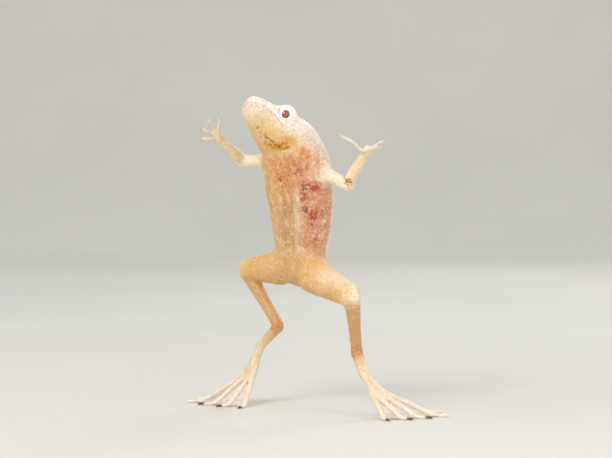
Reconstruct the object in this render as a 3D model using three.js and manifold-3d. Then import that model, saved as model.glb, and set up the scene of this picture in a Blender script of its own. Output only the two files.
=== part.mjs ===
// An albino African clawed frog, a froglet of 40 mm from snout to vent, standing upright
// on its hind feet with both hands raised. Millimetres, +Z up. The frog's belly faces -Y and -X,
// its back +Y and +X, and its left side is the one nearer to -Y.
import * as THREE from "three";
import { mergeVertices } from "three/addons/utils/BufferGeometryUtils.js";
import Module from "manifold-3d";

const wasm = await Module();
wasm.setup();

// Driving sizes
const GAP = 0.3; // between two touching parts
const FINE_GAP = 0.2; // round an eyeball and behind a claw
const EYE_RADIUS = 1.95;
const WEB_THICKNESS = 0.5;
const FLOOR = 0;
const SAME_POINT = 1e-5; // points nearer than this are one
const NEARBY = 0.02; // how far along a list a direction is measured

// The trunk and head, from the rump to the snout. roll turns the left side from facing -Y
// (0 degrees) towards +X (90 degrees).
const BODY = [
  { at: [-1.3, 1.4, 24.3], side: 4.2, back: 3.0, belly: 3.0, roll: 48 }, // rump
  { at: [-1.2, 0.9, 28.2], side: 5.4, back: 3.7, belly: 3.6, roll: 49 }, // pelvis
  { at: [-0.9, -0.5, 33.2], side: 5.8, back: 4.0, belly: 4.1, roll: 52 }, // waist
  { at: [-0.8, -2.1, 38.8], side: 6.7, back: 4.3, belly: 4.8, roll: 54 }, // belly
  { at: [-1.2, -3.9, 44.5], side: 7.4, back: 4.6, belly: 5.0, roll: 55 }, // chest
  { at: [-1.9, -5.3, 49.2], side: 7.2, back: 4.7, belly: 4.9, roll: 51 }, // shoulders
  { at: [-3.2, -6.6, 52.7], side: 6.6, back: 4.5, belly: 4.6, roll: 43 }, // nape
  { at: [-5.2, -7.8, 55.1], side: 6.1, back: 4.0, belly: 4.1, roll: 34 }, // jaw angle
  { at: [-7.2, -8.9, 57.2], side: 5.4, back: 3.2, belly: 3.5, roll: 27 }, // eyes
  { at: [-9.2, -9.9, 59.2], side: 4.5, back: 2.5, belly: 2.8, roll: 25 }, // nostrils
  { at: [-11.3, -10.8, 61.1], side: 3.7, back: 2.0, belly: 2.2, roll: 25 }, // snout
];
const SNOUT = BODY.length - 1;
const SQUARENESS = 2.25; // exponent of the body's sections, 2 for an ellipse
const BODY_ENDS = { rump: 0.12, snout: 0.085 }; // shares of the length that are rounded
const BODY_MESH = { steps: 30, sides: 30, roundSteps: 5 };

const vec = (a) => new THREE.Vector3(...a);
const lerp = THREE.MathUtils.lerp;
const rad = THREE.MathUtils.degToRad;

// A smooth value between the entries of a list, at place t counted in entries.
function along(list, t) {
  const last = list.length - 1;
  const i = Math.min(Math.floor(t), last - 1);
  const f = t - i;
  const p1 = list[i];
  const p2 = list[i + 1];
  const p0 = i > 0 ? list[i - 1] : 2 * p1 - p2;
  const p3 = i + 1 < last ? list[i + 2] : 2 * p2 - p1;
  return (
    0.5 *
    (2 * p1 + (p2 - p0) * f + (2 * p0 - 5 * p1 + 4 * p2 - p3) * f * f + (3 * p1 - p0 - 3 * p2 + p3) * f ** 3)
  );
}

const pointAlong = (points, t) => vec([0, 1, 2].map((k) => along(points.map((p) => p[k]), t)));

// The body's section at place t: its centre, its three directions and its half sizes.
function bodySection(t) {
  const centres = BODY.map((s) => s.at);
  const centre = pointAlong(centres, t);
  const ahead = pointAlong(centres, Math.min(t + NEARBY, SNOUT));
  const forward = ahead.sub(pointAlong(centres, Math.max(t - NEARBY, 0))).normalize();
  const near = vec([0, -1, 0]).addScaledVector(forward, forward.y).normalize();
  const across = forward.clone().cross(near);
  const roll = rad(along(BODY.map((s) => s.roll), t));
  const left = near.clone().multiplyScalar(Math.cos(roll)).addScaledVector(across, Math.sin(roll));
  const up = near.clone().multiplyScalar(-Math.sin(roll)).addScaledVector(across, Math.cos(roll));
  const [side, back, belly] = ["side", "back", "belly"].map((k) => along(BODY.map((s) => s[k]), t));
  return { centre, forward, left, up, side, back, belly };
}

// A point of the body's frame at place t: so far to the left, up and forward.
function onBody(t, left, up, forward = 0) {
  const s = bodySection(t);
  return s.centre
    .clone()
    .addScaledVector(s.left, left)
    .addScaledVector(s.up, up)
    .addScaledVector(s.forward, forward);
}

// Shapes

function centreOf(ring) {
  return ring.reduce((sum, p) => sum.add(p), new THREE.Vector3()).multiplyScalar(1 / ring.length);
}

// A closed surface over rings of points, each ring running the same way round. A ring of one
// point closes that end to a tip; an open end is closed flat.
function skinOver(open) {
  const ends = [open[0], open[open.length - 1]];
  const [first, final] = ends.map((ring) => (ring.length > 1 ? [[centreOf(ring)]] : []));
  const rings = [...first, ...open, ...final];
  const positions = [];
  const starts = rings.map((ring) => {
    const start = positions.length / 3;
    ring.forEach((p) => positions.push(p.x, p.y, p.z));
    return start;
  });
  const index = [];
  for (let r = 0; r + 1 < rings.length; r++) {
    const n = Math.max(rings[r].length, rings[r + 1].length);
    for (let k = 0; k < n; k++) {
      const a = starts[r] + (k % rings[r].length);
      const b = starts[r] + ((k + 1) % rings[r].length);
      const c = starts[r + 1] + (k % rings[r + 1].length);
      const d = starts[r + 1] + ((k + 1) % rings[r + 1].length);
      if (a !== b) index.push(a, b, c);
      if (c !== d) index.push(b, d, c);
    }
  }
  const geometry = new THREE.BufferGeometry();
  geometry.setAttribute("position", new THREE.Float32BufferAttribute(positions, 3));
  geometry.setIndex(index);
  return solidOf(geometry);
}

// A three.js geometry as a manifold-3d solid, turned to face outwards.
function solidOf(geometry) {
  const bare = geometry.clone();
  bare.deleteAttribute("normal");
  bare.deleteAttribute("uv");
  const merged = mergeVertices(bare, SAME_POINT);
  const vertProperties = new Float32Array(merged.attributes.position.array);
  const triVerts = new Uint32Array(merged.index.array);
  const made = new wasm.Manifold(new wasm.Mesh({ numProp: 3, vertProperties, triVerts }));
  if (made.volume() > 0) return made;
  for (let i = 0; i < triVerts.length; i += 3) {
    [triVerts[i], triVerts[i + 1]] = [triVerts[i + 1], triVerts[i]];
  }
  return new wasm.Manifold(new wasm.Mesh({ numProp: 3, vertProperties, triVerts }));
}

// Places from 0 to 1 whose steps close up towards a rounded end, with the share of the full
// section that each keeps.
function roundedPlaces(steps, roundStart, roundEnd, roundSteps) {
  const turn = (i) => (Math.PI / 2) * (i / roundSteps);
  const places = [];
  for (let i = 0; i < roundSteps && roundStart > 0; i++) {
    places.push({ u: roundStart * (1 - Math.cos(turn(i))), share: Math.sin(turn(i)) });
  }
  for (let i = 0; i <= steps; i++) {
    places.push({ u: lerp(roundStart, 1 - roundEnd, i / steps), share: 1 });
  }
  for (let i = roundSteps - 1; i >= 0 && roundEnd > 0; i--) {
    places.push({ u: 1 - roundEnd * (1 - Math.cos(turn(i))), share: Math.sin(turn(i)) });
  }
  return places;
}

const power = (x, n) => Math.sign(x) * Math.abs(x) ** n;

// The whole trunk and head, grown by so much.
function bodySolid(grow) {
  const { steps, sides, roundSteps } = BODY_MESH;
  const rings = roundedPlaces(steps, BODY_ENDS.rump, BODY_ENDS.snout, roundSteps).map(({ u, share }) => {
    const s = bodySection(u * SNOUT);
    if (share === 0) return [s.centre.addScaledVector(s.forward, (u > 0.5 ? 1 : -1) * grow)];
    return Array.from({ length: sides }, (_, k) => {
      const a = (2 * Math.PI * k) / sides;
      const x = power(Math.cos(a), 2 / SQUARENESS);
      const y = power(Math.sin(a), 2 / SQUARENESS);
      return s.centre
        .clone()
        .addScaledVector(s.left, x * (s.side * share + grow))
        .addScaledVector(s.up, y * ((y > 0 ? s.back : s.belly) * share + grow));
    });
  });
  return skinOver(rings);
}

// A limb along points, each {at, wide, thick}: wide across flat, thick along it. The ends are
// rounded by so many millimetres.
function limb(points, flat, { steps = 8, sides = 12, start = 0, end = 0, roundSteps = 3 }) {
  const centres = points.map((p) => p.at);
  const last = points.length - 1;
  const length = centres.slice(1).reduce((sum, p, i) => sum + vec(p).distanceTo(vec(centres[i])), 0);
  const rings = roundedPlaces(steps, start / length, end / length, roundSteps).map(({ u, share }) => {
    const t = u * last;
    const centre = pointAlong(centres, t);
    if (share === 0) return [centre];
    const ahead = pointAlong(centres, Math.min(t + NEARBY, last));
    const forward = ahead.sub(pointAlong(centres, Math.max(t - NEARBY, 0))).normalize();
    const across = vec(flat).cross(forward).normalize();
    const out = forward.clone().cross(across);
    const wide = along(points.map((p) => p.wide), t) * share;
    const thick = along(points.map((p) => p.thick ?? p.wide), t) * share;
    return Array.from({ length: sides }, (_, k) => {
      const a = (2 * Math.PI * k) / sides;
      return centre
        .clone()
        .addScaledVector(across, Math.cos(a) * wide)
        .addScaledVector(out, Math.sin(a) * thick);
    });
  });
  return skinOver(rings);
}

const between = (a, b, share) => vec(a).lerp(vec(b), share).toArray();
function beyond(from, to, more) {
  const d = vec(to).sub(vec(from)).normalize();
  return vec(to).addScaledVector(d, more).toArray();
}

// The points of a limb from one joint to the next, out of a list of sizes. Each size is at a
// share of the way, or so many millimetres before the first joint or past the second.
function stations(from, to, sizes) {
  return sizes.map(({ share, before, past, wide, thick }) => {
    if (before) return { at: beyond(to, from, before), wide, thick };
    if (past) return { at: beyond(from, to, past), wide, thick };
    return { at: between(from, to, share), wide, thick };
  });
}

const ball = (centre, radius, sides) =>
  solidOf(new THREE.SphereGeometry(radius, sides, sides / 2).translate(centre.x, centre.y, centre.z));

// The part of a solid that lies behind a plane through a point, clear of it by so much.
const behind = (solid, point, normal, clear) =>
  solid.trimByPlane(opposite(normal).toArray(), -point.dot(normal) + clear);

const opposite = (direction) => direction.clone().negate();

const join = (solids) => solids.reduce((a, b) => a.add(b));

// Only the largest closed surface of a solid.
const largest = (solid) => solid.decompose().sort((a, b) => b.volume() - a.volume())[0];

// A joint between two segments of a limb: the plane that halves the bend.
function jointPlane(before, joint, after) {
  const into = vec(joint).sub(vec(before)).normalize();
  const out = vec(after).sub(vec(joint)).normalize();
  return { point: vec(joint), normal: into.add(out).normalize() };
}

// The part of a segment between the joint at its start and the one at its end.
function cutBoth(solid, from, to) {
  const started = behind(solid, from.point, opposite(from.normal), GAP / 2);
  return behind(started, to.point, to.normal, GAP / 2);
}

// The frog

const bodyWhole = bodySolid(0);
const bodyGrown = bodySolid(GAP);
const NECK = 6.35; // place of the cut between trunk and head
const neck = { point: bodySection(NECK).centre, normal: bodySection(NECK).forward };

// Eyes, one on each side of the head, each in a low ball of lid
const EYE = { place: 7.85, side: 4.1, up: 1.3 };
const EYE_AIM = { side: 0.97, forward: 0.2 };
const EYE_SIDES = 22;
const LID = { radius: 2.35, set: 0.62, sides: 24 };
function eyePlace(sign) {
  const { left, forward } = bodySection(EYE.place);
  const centre = onBody(EYE.place, sign * EYE.side, EYE.up);
  const aim = left
    .clone()
    .multiplyScalar(sign * EYE_AIM.side)
    .addScaledVector(forward, EYE_AIM.forward)
    .normalize();
  return { centre, aim };
}
const eyes = { left: eyePlace(1), right: eyePlace(-1) };

function headWhole() {
  const places = Object.values(eyes);
  const lids = places.map(({ centre, aim }) =>
    ball(centre.clone().addScaledVector(aim, -LID.set), LID.radius, LID.sides),
  );
  const sockets = places.map(({ centre }) => ball(centre, EYE_RADIUS + FINE_GAP, LID.sides));
  const front = behind(bodyWhole, neck.point, opposite(neck.normal), GAP / 2);
  return largest(join([front, ...lids]).subtract(join([...sockets, nostril(1), nostril(-1)])));
}

// A nostril is a short hole near the tip of the snout, slanting in and back.
const NOSTRIL = {
  place: 9.75,
  radius: 0.28,
  top: { side: 1.25, up: 2.7, forward: 0.3 },
  bottom: { side: 1.0, up: 1.3, forward: -0.2 },
};
function nostril(sign) {
  const ends = [NOSTRIL.top, NOSTRIL.bottom];
  const points = ends.map(({ side, up, forward }) => ({
    at: onBody(NOSTRIL.place, sign * side, up, forward).toArray(),
    wide: NOSTRIL.radius,
  }));
  return limb(points, [1, 0, 0], { steps: 1, sides: 8 });
}

// The mouth is a thin curved sheet from the tip of the snout to the mouth's corners, at a height
// that falls away under the eye. It is a little higher in the middle than at the sides. Below it
// is the lower jaw, which ends at a slanting cut across the throat.
const MOUTH = {
  line: [
    { place: 6.2, up: -1.7 },
    { place: 7.0, up: -1.65 },
    { place: 7.6, up: -1.45 },
    { place: 8.1, up: -0.95 },
    { place: 8.6, up: -0.5 },
    { place: 9.3, up: -0.4 },
    { place: 10, up: -0.4 },
  ],
  middle: 0.1,
  side: -0.1,
  corner: { place: 7.45, up: -1.5 },
};
const THROAT = { forward: 0.94, up: 0.34 };
const JAW_REACH = 9;
const PAST_SNOUT = 3;

function jawRegion(clear) {
  const end = MOUTH.line[MOUTH.line.length - 1];
  const rings = [...MOUTH.line, { ...end, forward: PAST_SNOUT }].map(({ place, up, forward = 0 }) => {
    const corners = [
      [JAW_REACH, up + MOUTH.side - clear],
      [0, up + MOUTH.middle - clear],
      [-JAW_REACH, up + MOUTH.side - clear],
      [-JAW_REACH, -JAW_REACH],
      [JAW_REACH, -JAW_REACH],
    ];
    return corners.map(([x, y]) => onBody(place, x, y, forward));
  });
  return skinOver(rings);
}
function throatCut() {
  const { forward, up } = bodySection(MOUTH.corner.place);
  const normal = forward.clone().multiplyScalar(THROAT.forward).addScaledVector(up, THROAT.up).normalize();
  return { point: onBody(MOUTH.corner.place, 0, MOUTH.corner.up), normal };
}

const colours = {
  belly: "#dfa679",
  pale: "#efdfcd",
  gold: "#e0ac63",
  limb: "#e8c79f",
  eye: "#f4f1ec",
  claw: "#2c3038",
};
const frog = new THREE.Group();

function add(name, solid, colour) {
  const { vertProperties, triVerts } = solid.getMesh();
  const geometry = new THREE.BufferGeometry();
  geometry.setAttribute("position", new THREE.BufferAttribute(new Float32Array(vertProperties), 3));
  geometry.setIndex(new THREE.BufferAttribute(new Uint32Array(triVerts), 1));
  geometry.computeVertexNormals();
  const material = new THREE.MeshStandardMaterial({ color: colour, roughness: 0.45, metalness: 0 });
  const mesh = new THREE.Mesh(geometry, material);
  mesh.name = name;
  frog.add(mesh);
}

function trunkParts() {
  const head = headWhole();
  const throat = throatCut();
  const inFront = (solid, clear) => behind(solid, throat.point, opposite(throat.normal), clear);
  const jaw = inFront(head, GAP / 2).intersect(jawRegion(GAP / 2));
  const skull = head.subtract(inFront(jawRegion(-GAP / 2), -GAP / 2));
  add("head", largest(skull), colours.pale);
  add("lower_jaw", largest(jaw), colours.pale);
  add("torso", largest(behind(bodyWhole, neck.point, neck.normal, GAP / 2)), colours.belly);
  for (const [name, { centre }] of Object.entries(eyes)) {
    add("eye_" + name, ball(centre, EYE_RADIUS, EYE_SIDES), colours.eye);
  }
}

// Arms. Each has a shoulder sunk in the trunk, an elbow, a wrist, and four bare fingers.
const ARMS = {
  left: {
    flat: [0, -1, 0.3],
    root: [0.6, -7.6, 48.6],
    elbow: [7.9, -12.0, 44.9],
    wrist: [11.4, -15.0, 51.0],
    palm: [12.0, -15.6, 51.7],
    fingers: [
      [[10.6, -16.0, 51.5], [9.4, -16.4, 52.7], [8.0, -16.6, 53.6], [5.6, -16.6, 54.7]],
      [[12.6, -16.0, 52.0], [13.3, -16.4, 52.4], [14.2, -16.7, 53.0], [15.3, -16.8, 53.5]],
      [[12.6, -15.4, 51.5], [13.3, -15.1, 51.7], [13.9, -14.8, 51.9], [14.7, -14.6, 52.2]],
      [[12.4, -16.4, 51.7], [12.9, -17.2, 51.9], [13.5, -17.9, 52.1], [14.0, -18.4, 52.4]],
    ],
  },
  right: {
    flat: [0.2, -1, 0.3],
    root: [-4.8, -2.9, 49.4],
    elbow: [-12.5, -0.2, 49.5],
    wrist: [-16.4, -4.2, 53.2],
    palm: [-17.2, -5.1, 54.0],
    fingers: [
      [[-18.2, -5.9, 53.9], [-19.1, -6.7, 53.8], [-20.0, -7.4, 53.8], [-20.7, -7.9, 53.5]],
      [[-18.2, -6.0, 54.6], [-19.1, -6.9, 55.1], [-20.0, -7.6, 55.5], [-20.6, -8.2, 55.6]],
      [[-17.9, -6.0, 55.2], [-18.5, -6.8, 56.3], [-19.0, -7.5, 57.2], [-19.5, -8.0, 58.0]],
      [[-17.2, -5.8, 55.3], [-17.1, -6.5, 56.4], [-16.9, -7.2, 57.3], [-16.6, -7.7, 57.9]],
    ],
  },
};
const FINGER = { root: 0.38, middle: 0.31, tip: 0.24 };
const UPPER_ARM = [
  { share: 0, wide: 2.3, thick: 2.1 },
  { share: 0.42, wide: 1.6, thick: 1.5 },
  { share: 0.72, wide: 1.25 },
  { past: 1.0, wide: 1.25 },
];
const FOREARM = [
  { before: 1.0, wide: 1.2 },
  { share: 0.3, wide: 1.18, thick: 1.05 },
  { share: 0.65, wide: 1.0, thick: 0.9 },
  { past: 0.7, wide: 0.75, thick: 0.6 },
];
const PALM = [
  { before: 0.7, wide: 0.62, thick: 0.5 },
  { share: 0.6, wide: 0.95, thick: 0.55 },
  { past: 0.7, wide: 1.05, thick: 0.5 },
];

function fingerSolid(arm, points) {
  const sizes = [FINGER.root, FINGER.root, FINGER.middle, FINGER.middle, FINGER.tip];
  const spine = [arm.palm, ...points].map((at, i) => ({ at, wide: sizes[i] }));
  return limb(spine, arm.flat, { start: 0.2, end: 0.3, steps: 9, sides: 8, roundSteps: 2 });
}

function armParts(name, arm) {
  const { root, elbow, wrist, palm, flat } = arm;
  const upper = limb(stations(root, elbow, UPPER_ARM), flat, { start: 1.5, end: 1.1 });
  const fore = limb(stations(elbow, wrist, FOREARM), flat, { start: 1.1, end: 0.4 });
  const palmSolid = limb(stations(wrist, palm, PALM), flat, { start: 0.4, end: 0.7, steps: 4 });
  const hand = join([palmSolid, ...arm.fingers.map((points) => fingerSolid(arm, points))]);
  const bend = jointPlane(root, elbow, wrist);
  const turn = jointPlane(elbow, wrist, palm);
  const upperCut = behind(upper, bend.point, bend.normal, GAP / 2).subtract(bodyGrown);
  add("upper_arm_" + name, largest(upperCut), colours.limb);
  add("forearm_" + name, largest(cutBoth(fore, bend, turn)), colours.limb);
  add("hand_" + name, largest(behind(hand, turn.point, opposite(turn.normal), GAP / 2)), colours.pale);
}

// Legs. Each has a hip sunk in the trunk, a knee, an ankle, a heel, and five webbed toes whose
// ends lie flat on the floor. The three inner toes end in claws.
const LEGS = {
  left: {
    root: [0.2, -2.2, 27.4],
    knee: [8.9, -12.6, 23.2],
    ankle: [10.0, -7.0, 11.7],
    heel: [11.5, -12.2, 7.9],
    toes: [
      [[12.9, -14.9, 4.4], [14.1, -17.4, 2.0], [15.3, -20.0]],
      [[13.6, -14.7, 4.5], [16.2, -16.8, 2.1], [19.3, -19.2]],
      [[14.3, -14.2, 4.6], [18.0, -15.6, 2.4], [22.9, -17.4]],
      [[14.7, -13.5, 4.8], [19.3, -13.9, 2.8], [27.6, -14.4]],
      [[14.8, -12.6, 4.8], [19.2, -11.3, 2.6], [26.6, -9.2]],
    ],
  },
  right: {
    root: [-3.4, 2.4, 28.1],
    knee: [-12.3, 11.0, 27.2],
    ankle: [-5.5, 3.8, 16.1],
    heel: [-9.2, 6.2, 12.0],
    toes: [
      [[-10.5, 4.8, 6.9], [-11.6, 2.6, 3.0], [-13.0, -0.8]],
      [[-11.0, 5.2, 6.8], [-13.5, 3.6, 3.0], [-16.9, 1.2]],
      [[-11.6, 5.8, 6.6], [-15.2, 5.3, 3.2], [-20.6, 4.2]],
      [[-12.1, 6.5, 6.6], [-16.3, 7.4, 3.4], [-24.4, 9.0]],
      [[-12.0, 7.3, 6.7], [-15.6, 9.5, 3.2], [-22.4, 13.8]],
    ],
  },
};
const TOE = { start: 0.7, root: 0.62, middle: 0.52, low: 0.48, tip: 0.4, height: 0.3 };
const TOE_LOW = { share: 0.62, lift: 0.12 }; // where a toe has come down to the floor
const CLAW = { length: 1.1, root: 0.28, middle: 0.21, tip: 0.08, sag: 0.16 };
const CLAWED = 3;
const THIGH = [
  { share: 0, wide: 4.2, thick: 3.6 },
  { share: 0.35, wide: 3.6, thick: 3.2 },
  { share: 0.7, wide: 2.9, thick: 2.6 },
  { past: 1.5, wide: 2.35, thick: 2.2 },
];
const SHANK = [
  { before: 1.4, wide: 1.6 },
  { share: 0.25, wide: 1.5, thick: 1.45 },
  { share: 0.6, wide: 1.25, thick: 1.22 },
  { past: 1.0, wide: 1.1 },
];
const ANKLE = [
  { before: 0.9, wide: 1.15 },
  { share: 0.5, wide: 1.15, thick: 1.0 },
  { past: 0.8, wide: 1.25, thick: 0.9 },
];
const SOLE = [
  { before: 0.8, wide: 1.15, thick: 0.85 },
  { share: 0.4, wide: 1.45, thick: 0.8 },
  { past: 0.6, wide: 1.7, thick: 0.55 },
];

// The spine of a toe, whose end comes down to lie level on the floor.
function toePoints(leg, [ball, middle, end]) {
  const tip = [...end, TOE.height];
  const low = between(middle, tip, TOE_LOW.share);
  low[2] = TOE.height + TOE_LOW.lift;
  return [
    { at: leg.heel, wide: TOE.start },
    { at: ball, wide: TOE.root },
    { at: middle, wide: TOE.middle },
    { at: low, wide: TOE.low },
    { at: tip, wide: TOE.tip },
  ];
}

function toeSolid(points) {
  return limb(points, [0, 0, 1], { start: 0.3, end: 0.35, steps: 11, roundSteps: 2, sides: 8 });
}

// The web between two toes: a thin sheet with a hollow free edge.
const WEB = { start: 0.5, end: 3.75, hollow: 0.95, across: 4, steps: 7 };
function web(a, b) {
  const point = (toe, t) => pointAlong(toe.map((p) => p.at), t);
  const grid = (lift) =>
    Array.from({ length: WEB.steps + 1 }, (_, i) =>
      Array.from({ length: WEB.across + 1 }, (_, j) => {
        const s = j / WEB.across;
        const end = WEB.end - WEB.hollow * 4 * s * (1 - s);
        const t = lerp(WEB.start, end, i / WEB.steps);
        return point(a, t).lerp(point(b, t), s).add(vec([0, 0, lift]));
      }),
    );
  const top = grid(WEB_THICKNESS / 2);
  const bottom = grid(-WEB_THICKNESS / 2);
  return skinOver(top.map((row, i) => [...row, ...bottom[i].slice().reverse()]));
}

// A claw starts just past the tip of its toe and sags towards the floor.
function clawSolid(points) {
  const [before, tip] = points.slice(-2).map((p) => vec(p.at));
  const forward = tip.clone().sub(before).setZ(0).normalize();
  const spine = [CLAW.root, CLAW.middle, CLAW.tip].map((wide, i) => {
    const share = i / 2;
    const at = tip.clone().addScaledVector(forward, FINE_GAP + CLAW.length * share);
    at.z -= CLAW.sag * share ** 2;
    return { at: at.toArray(), wide };
  });
  return limb(spine, [0, 0, 1], { end: 0.1, steps: 4, roundSteps: 2, sides: 8 });
}

function legParts(name, leg) {
  const { root, knee, ankle, heel } = leg;
  const middleToe = leg.toes[2][0];
  const level = [0, 0, 1];
  const fine = { steps: 10, roundSteps: 4 };
  const thigh = limb(stations(root, knee, THIGH), level, { start: 3, end: 1.7, sides: 18, ...fine });
  const shank = limb(stations(knee, ankle, SHANK), [1, 0, 0], { start: 1.5, end: 1, sides: 14, ...fine });
  const tarsus = limb(stations(ankle, heel, ANKLE), level, { start: 0.9, end: 0.7, steps: 6 });
  const sole = limb(stations(heel, middleToe, SOLE), level, { start: 0.6, end: 0.9, steps: 5, sides: 14 });
  const toes = leg.toes.map((toe) => toePoints(leg, toe));
  const foot = join([sole, ...toes.map(toeSolid), ...toes.slice(1).map((toe, i) => web(toes[i], toe))]);
  const bend = jointPlane(root, knee, ankle);
  const hock = jointPlane(knee, ankle, heel);
  const instep = jointPlane(ankle, heel, middleToe);
  const onFloor = (solid) => solid.trimByPlane(level, FLOOR);
  const thighCut = behind(thigh, bend.point, bend.normal, GAP / 2).subtract(bodyGrown);
  const footCut = behind(foot, instep.point, opposite(instep.normal), GAP / 2);
  add("thigh_" + name, largest(thighCut), colours.gold);
  add("shank_" + name, largest(cutBoth(shank, bend, hock)), colours.gold);
  add("ankle_" + name, largest(cutBoth(tarsus, hock, instep)), colours.gold);
  add("foot_" + name, largest(onFloor(footCut)), colours.limb);
  toes.slice(0, CLAWED).forEach((points, i) => {
    add("claw_" + name + "_" + (i + 1), largest(onFloor(clawSolid(points))), colours.claw);
  });
}

trunkParts();
for (const [name, arm] of Object.entries(ARMS)) armParts(name, arm);
for (const [name, leg] of Object.entries(LEGS)) legParts(name, leg);

// The origin is on the floor, under the middle of the frog's outline.
const bounds = new THREE.Box3().setFromObject(frog);
const middle = bounds.getCenter(vec([0, 0, 0]));
frog.position.set(-middle.x, -middle.y, -bounds.min.z);

const standing = new THREE.Group();
standing.add(frog);
export default standing;
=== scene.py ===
import itertools
import math

import bpy
import numpy as np
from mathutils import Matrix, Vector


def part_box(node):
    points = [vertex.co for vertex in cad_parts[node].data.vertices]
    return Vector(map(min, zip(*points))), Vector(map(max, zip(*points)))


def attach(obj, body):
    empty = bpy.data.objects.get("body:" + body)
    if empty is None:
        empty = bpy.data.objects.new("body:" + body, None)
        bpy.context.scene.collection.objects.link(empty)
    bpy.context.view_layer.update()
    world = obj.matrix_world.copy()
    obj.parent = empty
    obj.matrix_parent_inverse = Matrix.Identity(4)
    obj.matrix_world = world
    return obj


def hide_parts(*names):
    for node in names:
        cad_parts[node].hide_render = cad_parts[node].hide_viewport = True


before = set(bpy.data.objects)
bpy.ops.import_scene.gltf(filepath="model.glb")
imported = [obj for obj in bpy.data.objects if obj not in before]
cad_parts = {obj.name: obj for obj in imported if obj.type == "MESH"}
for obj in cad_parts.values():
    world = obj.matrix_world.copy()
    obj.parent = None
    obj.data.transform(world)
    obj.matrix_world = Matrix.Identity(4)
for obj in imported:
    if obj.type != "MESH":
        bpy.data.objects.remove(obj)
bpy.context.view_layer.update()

import openvdb as vdb
from mathutils import Vector
from mathutils.bvhtree import BVHTree

MM = 0.001
SEED = 7

# The moulding: the step of the volume's grid, the triangles left when it is thinned, the levels
# of the thinning's weights, and how many points are measured at a time.
VOXEL = 0.14
SKIN_TRIANGLES = 196000
WEIGHT_STEPS = 40
CHUNK = 20000

# A limb's paint counts within its reach, and FAR stands for any distance past that.
REACH = 4.0
FAR = 50.0

# How far along a curve the points lie that give its direction, counted in its entries.
TANGENT = 0.02

# The trunk and head from rump to snout: centre, half width, height to the back and to the
# belly, and how far the left side turns from facing -Y towards +X, in degrees.
BODY = np.array([
    [-1.3, 1.4, 24.3, 4.2, 3.0, 3.0, 48],  # rump
    [-1.2, 0.9, 28.2, 5.4, 3.7, 3.6, 49],  # pelvis
    [-0.9, -0.5, 33.2, 5.8, 4.0, 4.1, 52],  # waist
    [-0.8, -2.1, 38.8, 6.7, 4.3, 4.8, 54],  # belly
    [-1.2, -3.9, 44.5, 7.4, 4.6, 5.0, 55],  # chest
    [-1.9, -5.3, 49.2, 7.2, 4.7, 4.9, 51],  # shoulders
    [-3.2, -6.6, 52.7, 6.6, 4.5, 4.6, 43],  # nape
    [-5.2, -7.8, 55.1, 6.1, 4.0, 4.1, 34],  # jaw angle
    [-7.2, -8.9, 57.2, 5.4, 3.2, 3.5, 27],  # eyes
    [-9.2, -9.9, 59.2, 4.5, 2.5, 2.8, 25],  # nostrils
    [-11.3, -10.8, 61.1, 3.7, 2.0, 2.2, 25],  # snout
])
SNOUT = len(BODY) - 1
# How full the trunk's section is, where 2 is an ellipse. A share of its length is rounded at
# each end, in so many rings. The tip is the smallest share of a section at a rounded end.
SQUARENESS = 2.25
TRUNK_ENDS = {"rump": 0.12, "snout": 0.085, "rings": 12}
TIP_SHARE = 1e-3

# Each eyeball lies to the side of the body's middle and above it. The ways that its socket
# faces and that it looks are shares to the side, up and forward.
EYE_RADIUS = 1.95
PUPIL_RADIUS = 0.78
EYE = {"place": 7.85, "side": 4.1, "up": 1.3}
EYE_AIM = (0.97, 0.0, 0.2)
EYE_GAZE = (0.852, -0.303, 0.427)

# The lid's ball, the opening cut in it and the rim round the opening, along the eye's gaze.
LID = {"radius": 2.22, "set": 0.42}
SLIT = {"along": 0.95, "radius": 1.74}
RIM = {"along": 0.98, "radius": 1.79, "tube": 0.1}

NOSTRIL = {"place": 9.75, "radius": 0.26, "top": (1.25, 2.7, 0.3), "bottom": (1.0, 1.3, -0.2)}
MOUTH_PLACES = [6.2, 7.0, 7.6, 8.1, 8.6, 9.3, 10.0]
MOUTH_HEIGHTS = [-1.7, -1.65, -1.45, -0.95, -0.5, -0.4, -0.4]

ARMS = {
    "left": {
        "flat": (0, -1, 0.3),
        "root": (0.6, -7.6, 48.6),
        "elbow": (7.9, -12.0, 44.9),
        "wrist": (11.4, -15.0, 51.0),
        "palm": (12.0, -15.6, 51.7),
        "fingers": [
            [(10.6, -16.0, 51.5), (9.4, -16.4, 52.7), (8.0, -16.6, 53.6), (5.6, -16.6, 54.7)],
            [(12.6, -16.0, 52.0), (13.3, -16.4, 52.4), (14.2, -16.7, 53.0), (15.3, -16.8, 53.5)],
            [(12.6, -15.4, 51.5), (13.3, -15.1, 51.7), (13.9, -14.8, 51.9), (14.7, -14.6, 52.2)],
            [(12.4, -16.4, 51.7), (12.9, -17.2, 51.9), (13.5, -17.9, 52.1), (14.0, -18.4, 52.4)],
        ],
    },
    "right": {
        "flat": (0.2, -1, 0.3),
        "root": (-4.8, -2.9, 49.4),
        "elbow": (-12.5, -0.2, 49.5),
        "wrist": (-16.4, -4.2, 53.2),
        "palm": (-17.2, -5.1, 54.0),
        "fingers": [
            [(-18.2, -5.9, 53.9), (-19.1, -6.7, 53.8), (-20.0, -7.4, 53.8), (-20.7, -7.9, 53.5)],
            [(-18.2, -6.0, 54.6), (-19.1, -6.9, 55.1), (-20.0, -7.6, 55.5), (-20.6, -8.2, 55.6)],
            [(-17.9, -6.0, 55.2), (-18.5, -6.8, 56.3), (-19.0, -7.5, 57.2), (-19.5, -8.0, 58.0)],
            [(-17.2, -5.8, 55.3), (-17.1, -6.5, 56.4), (-16.9, -7.2, 57.3), (-16.6, -7.7, 57.9)],
        ],
    },
}
FINGER = {"root": 0.38, "middle": 0.31, "tip": 0.24, "swell": 0.14, "ends": (0.2, 0.3)}

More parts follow.
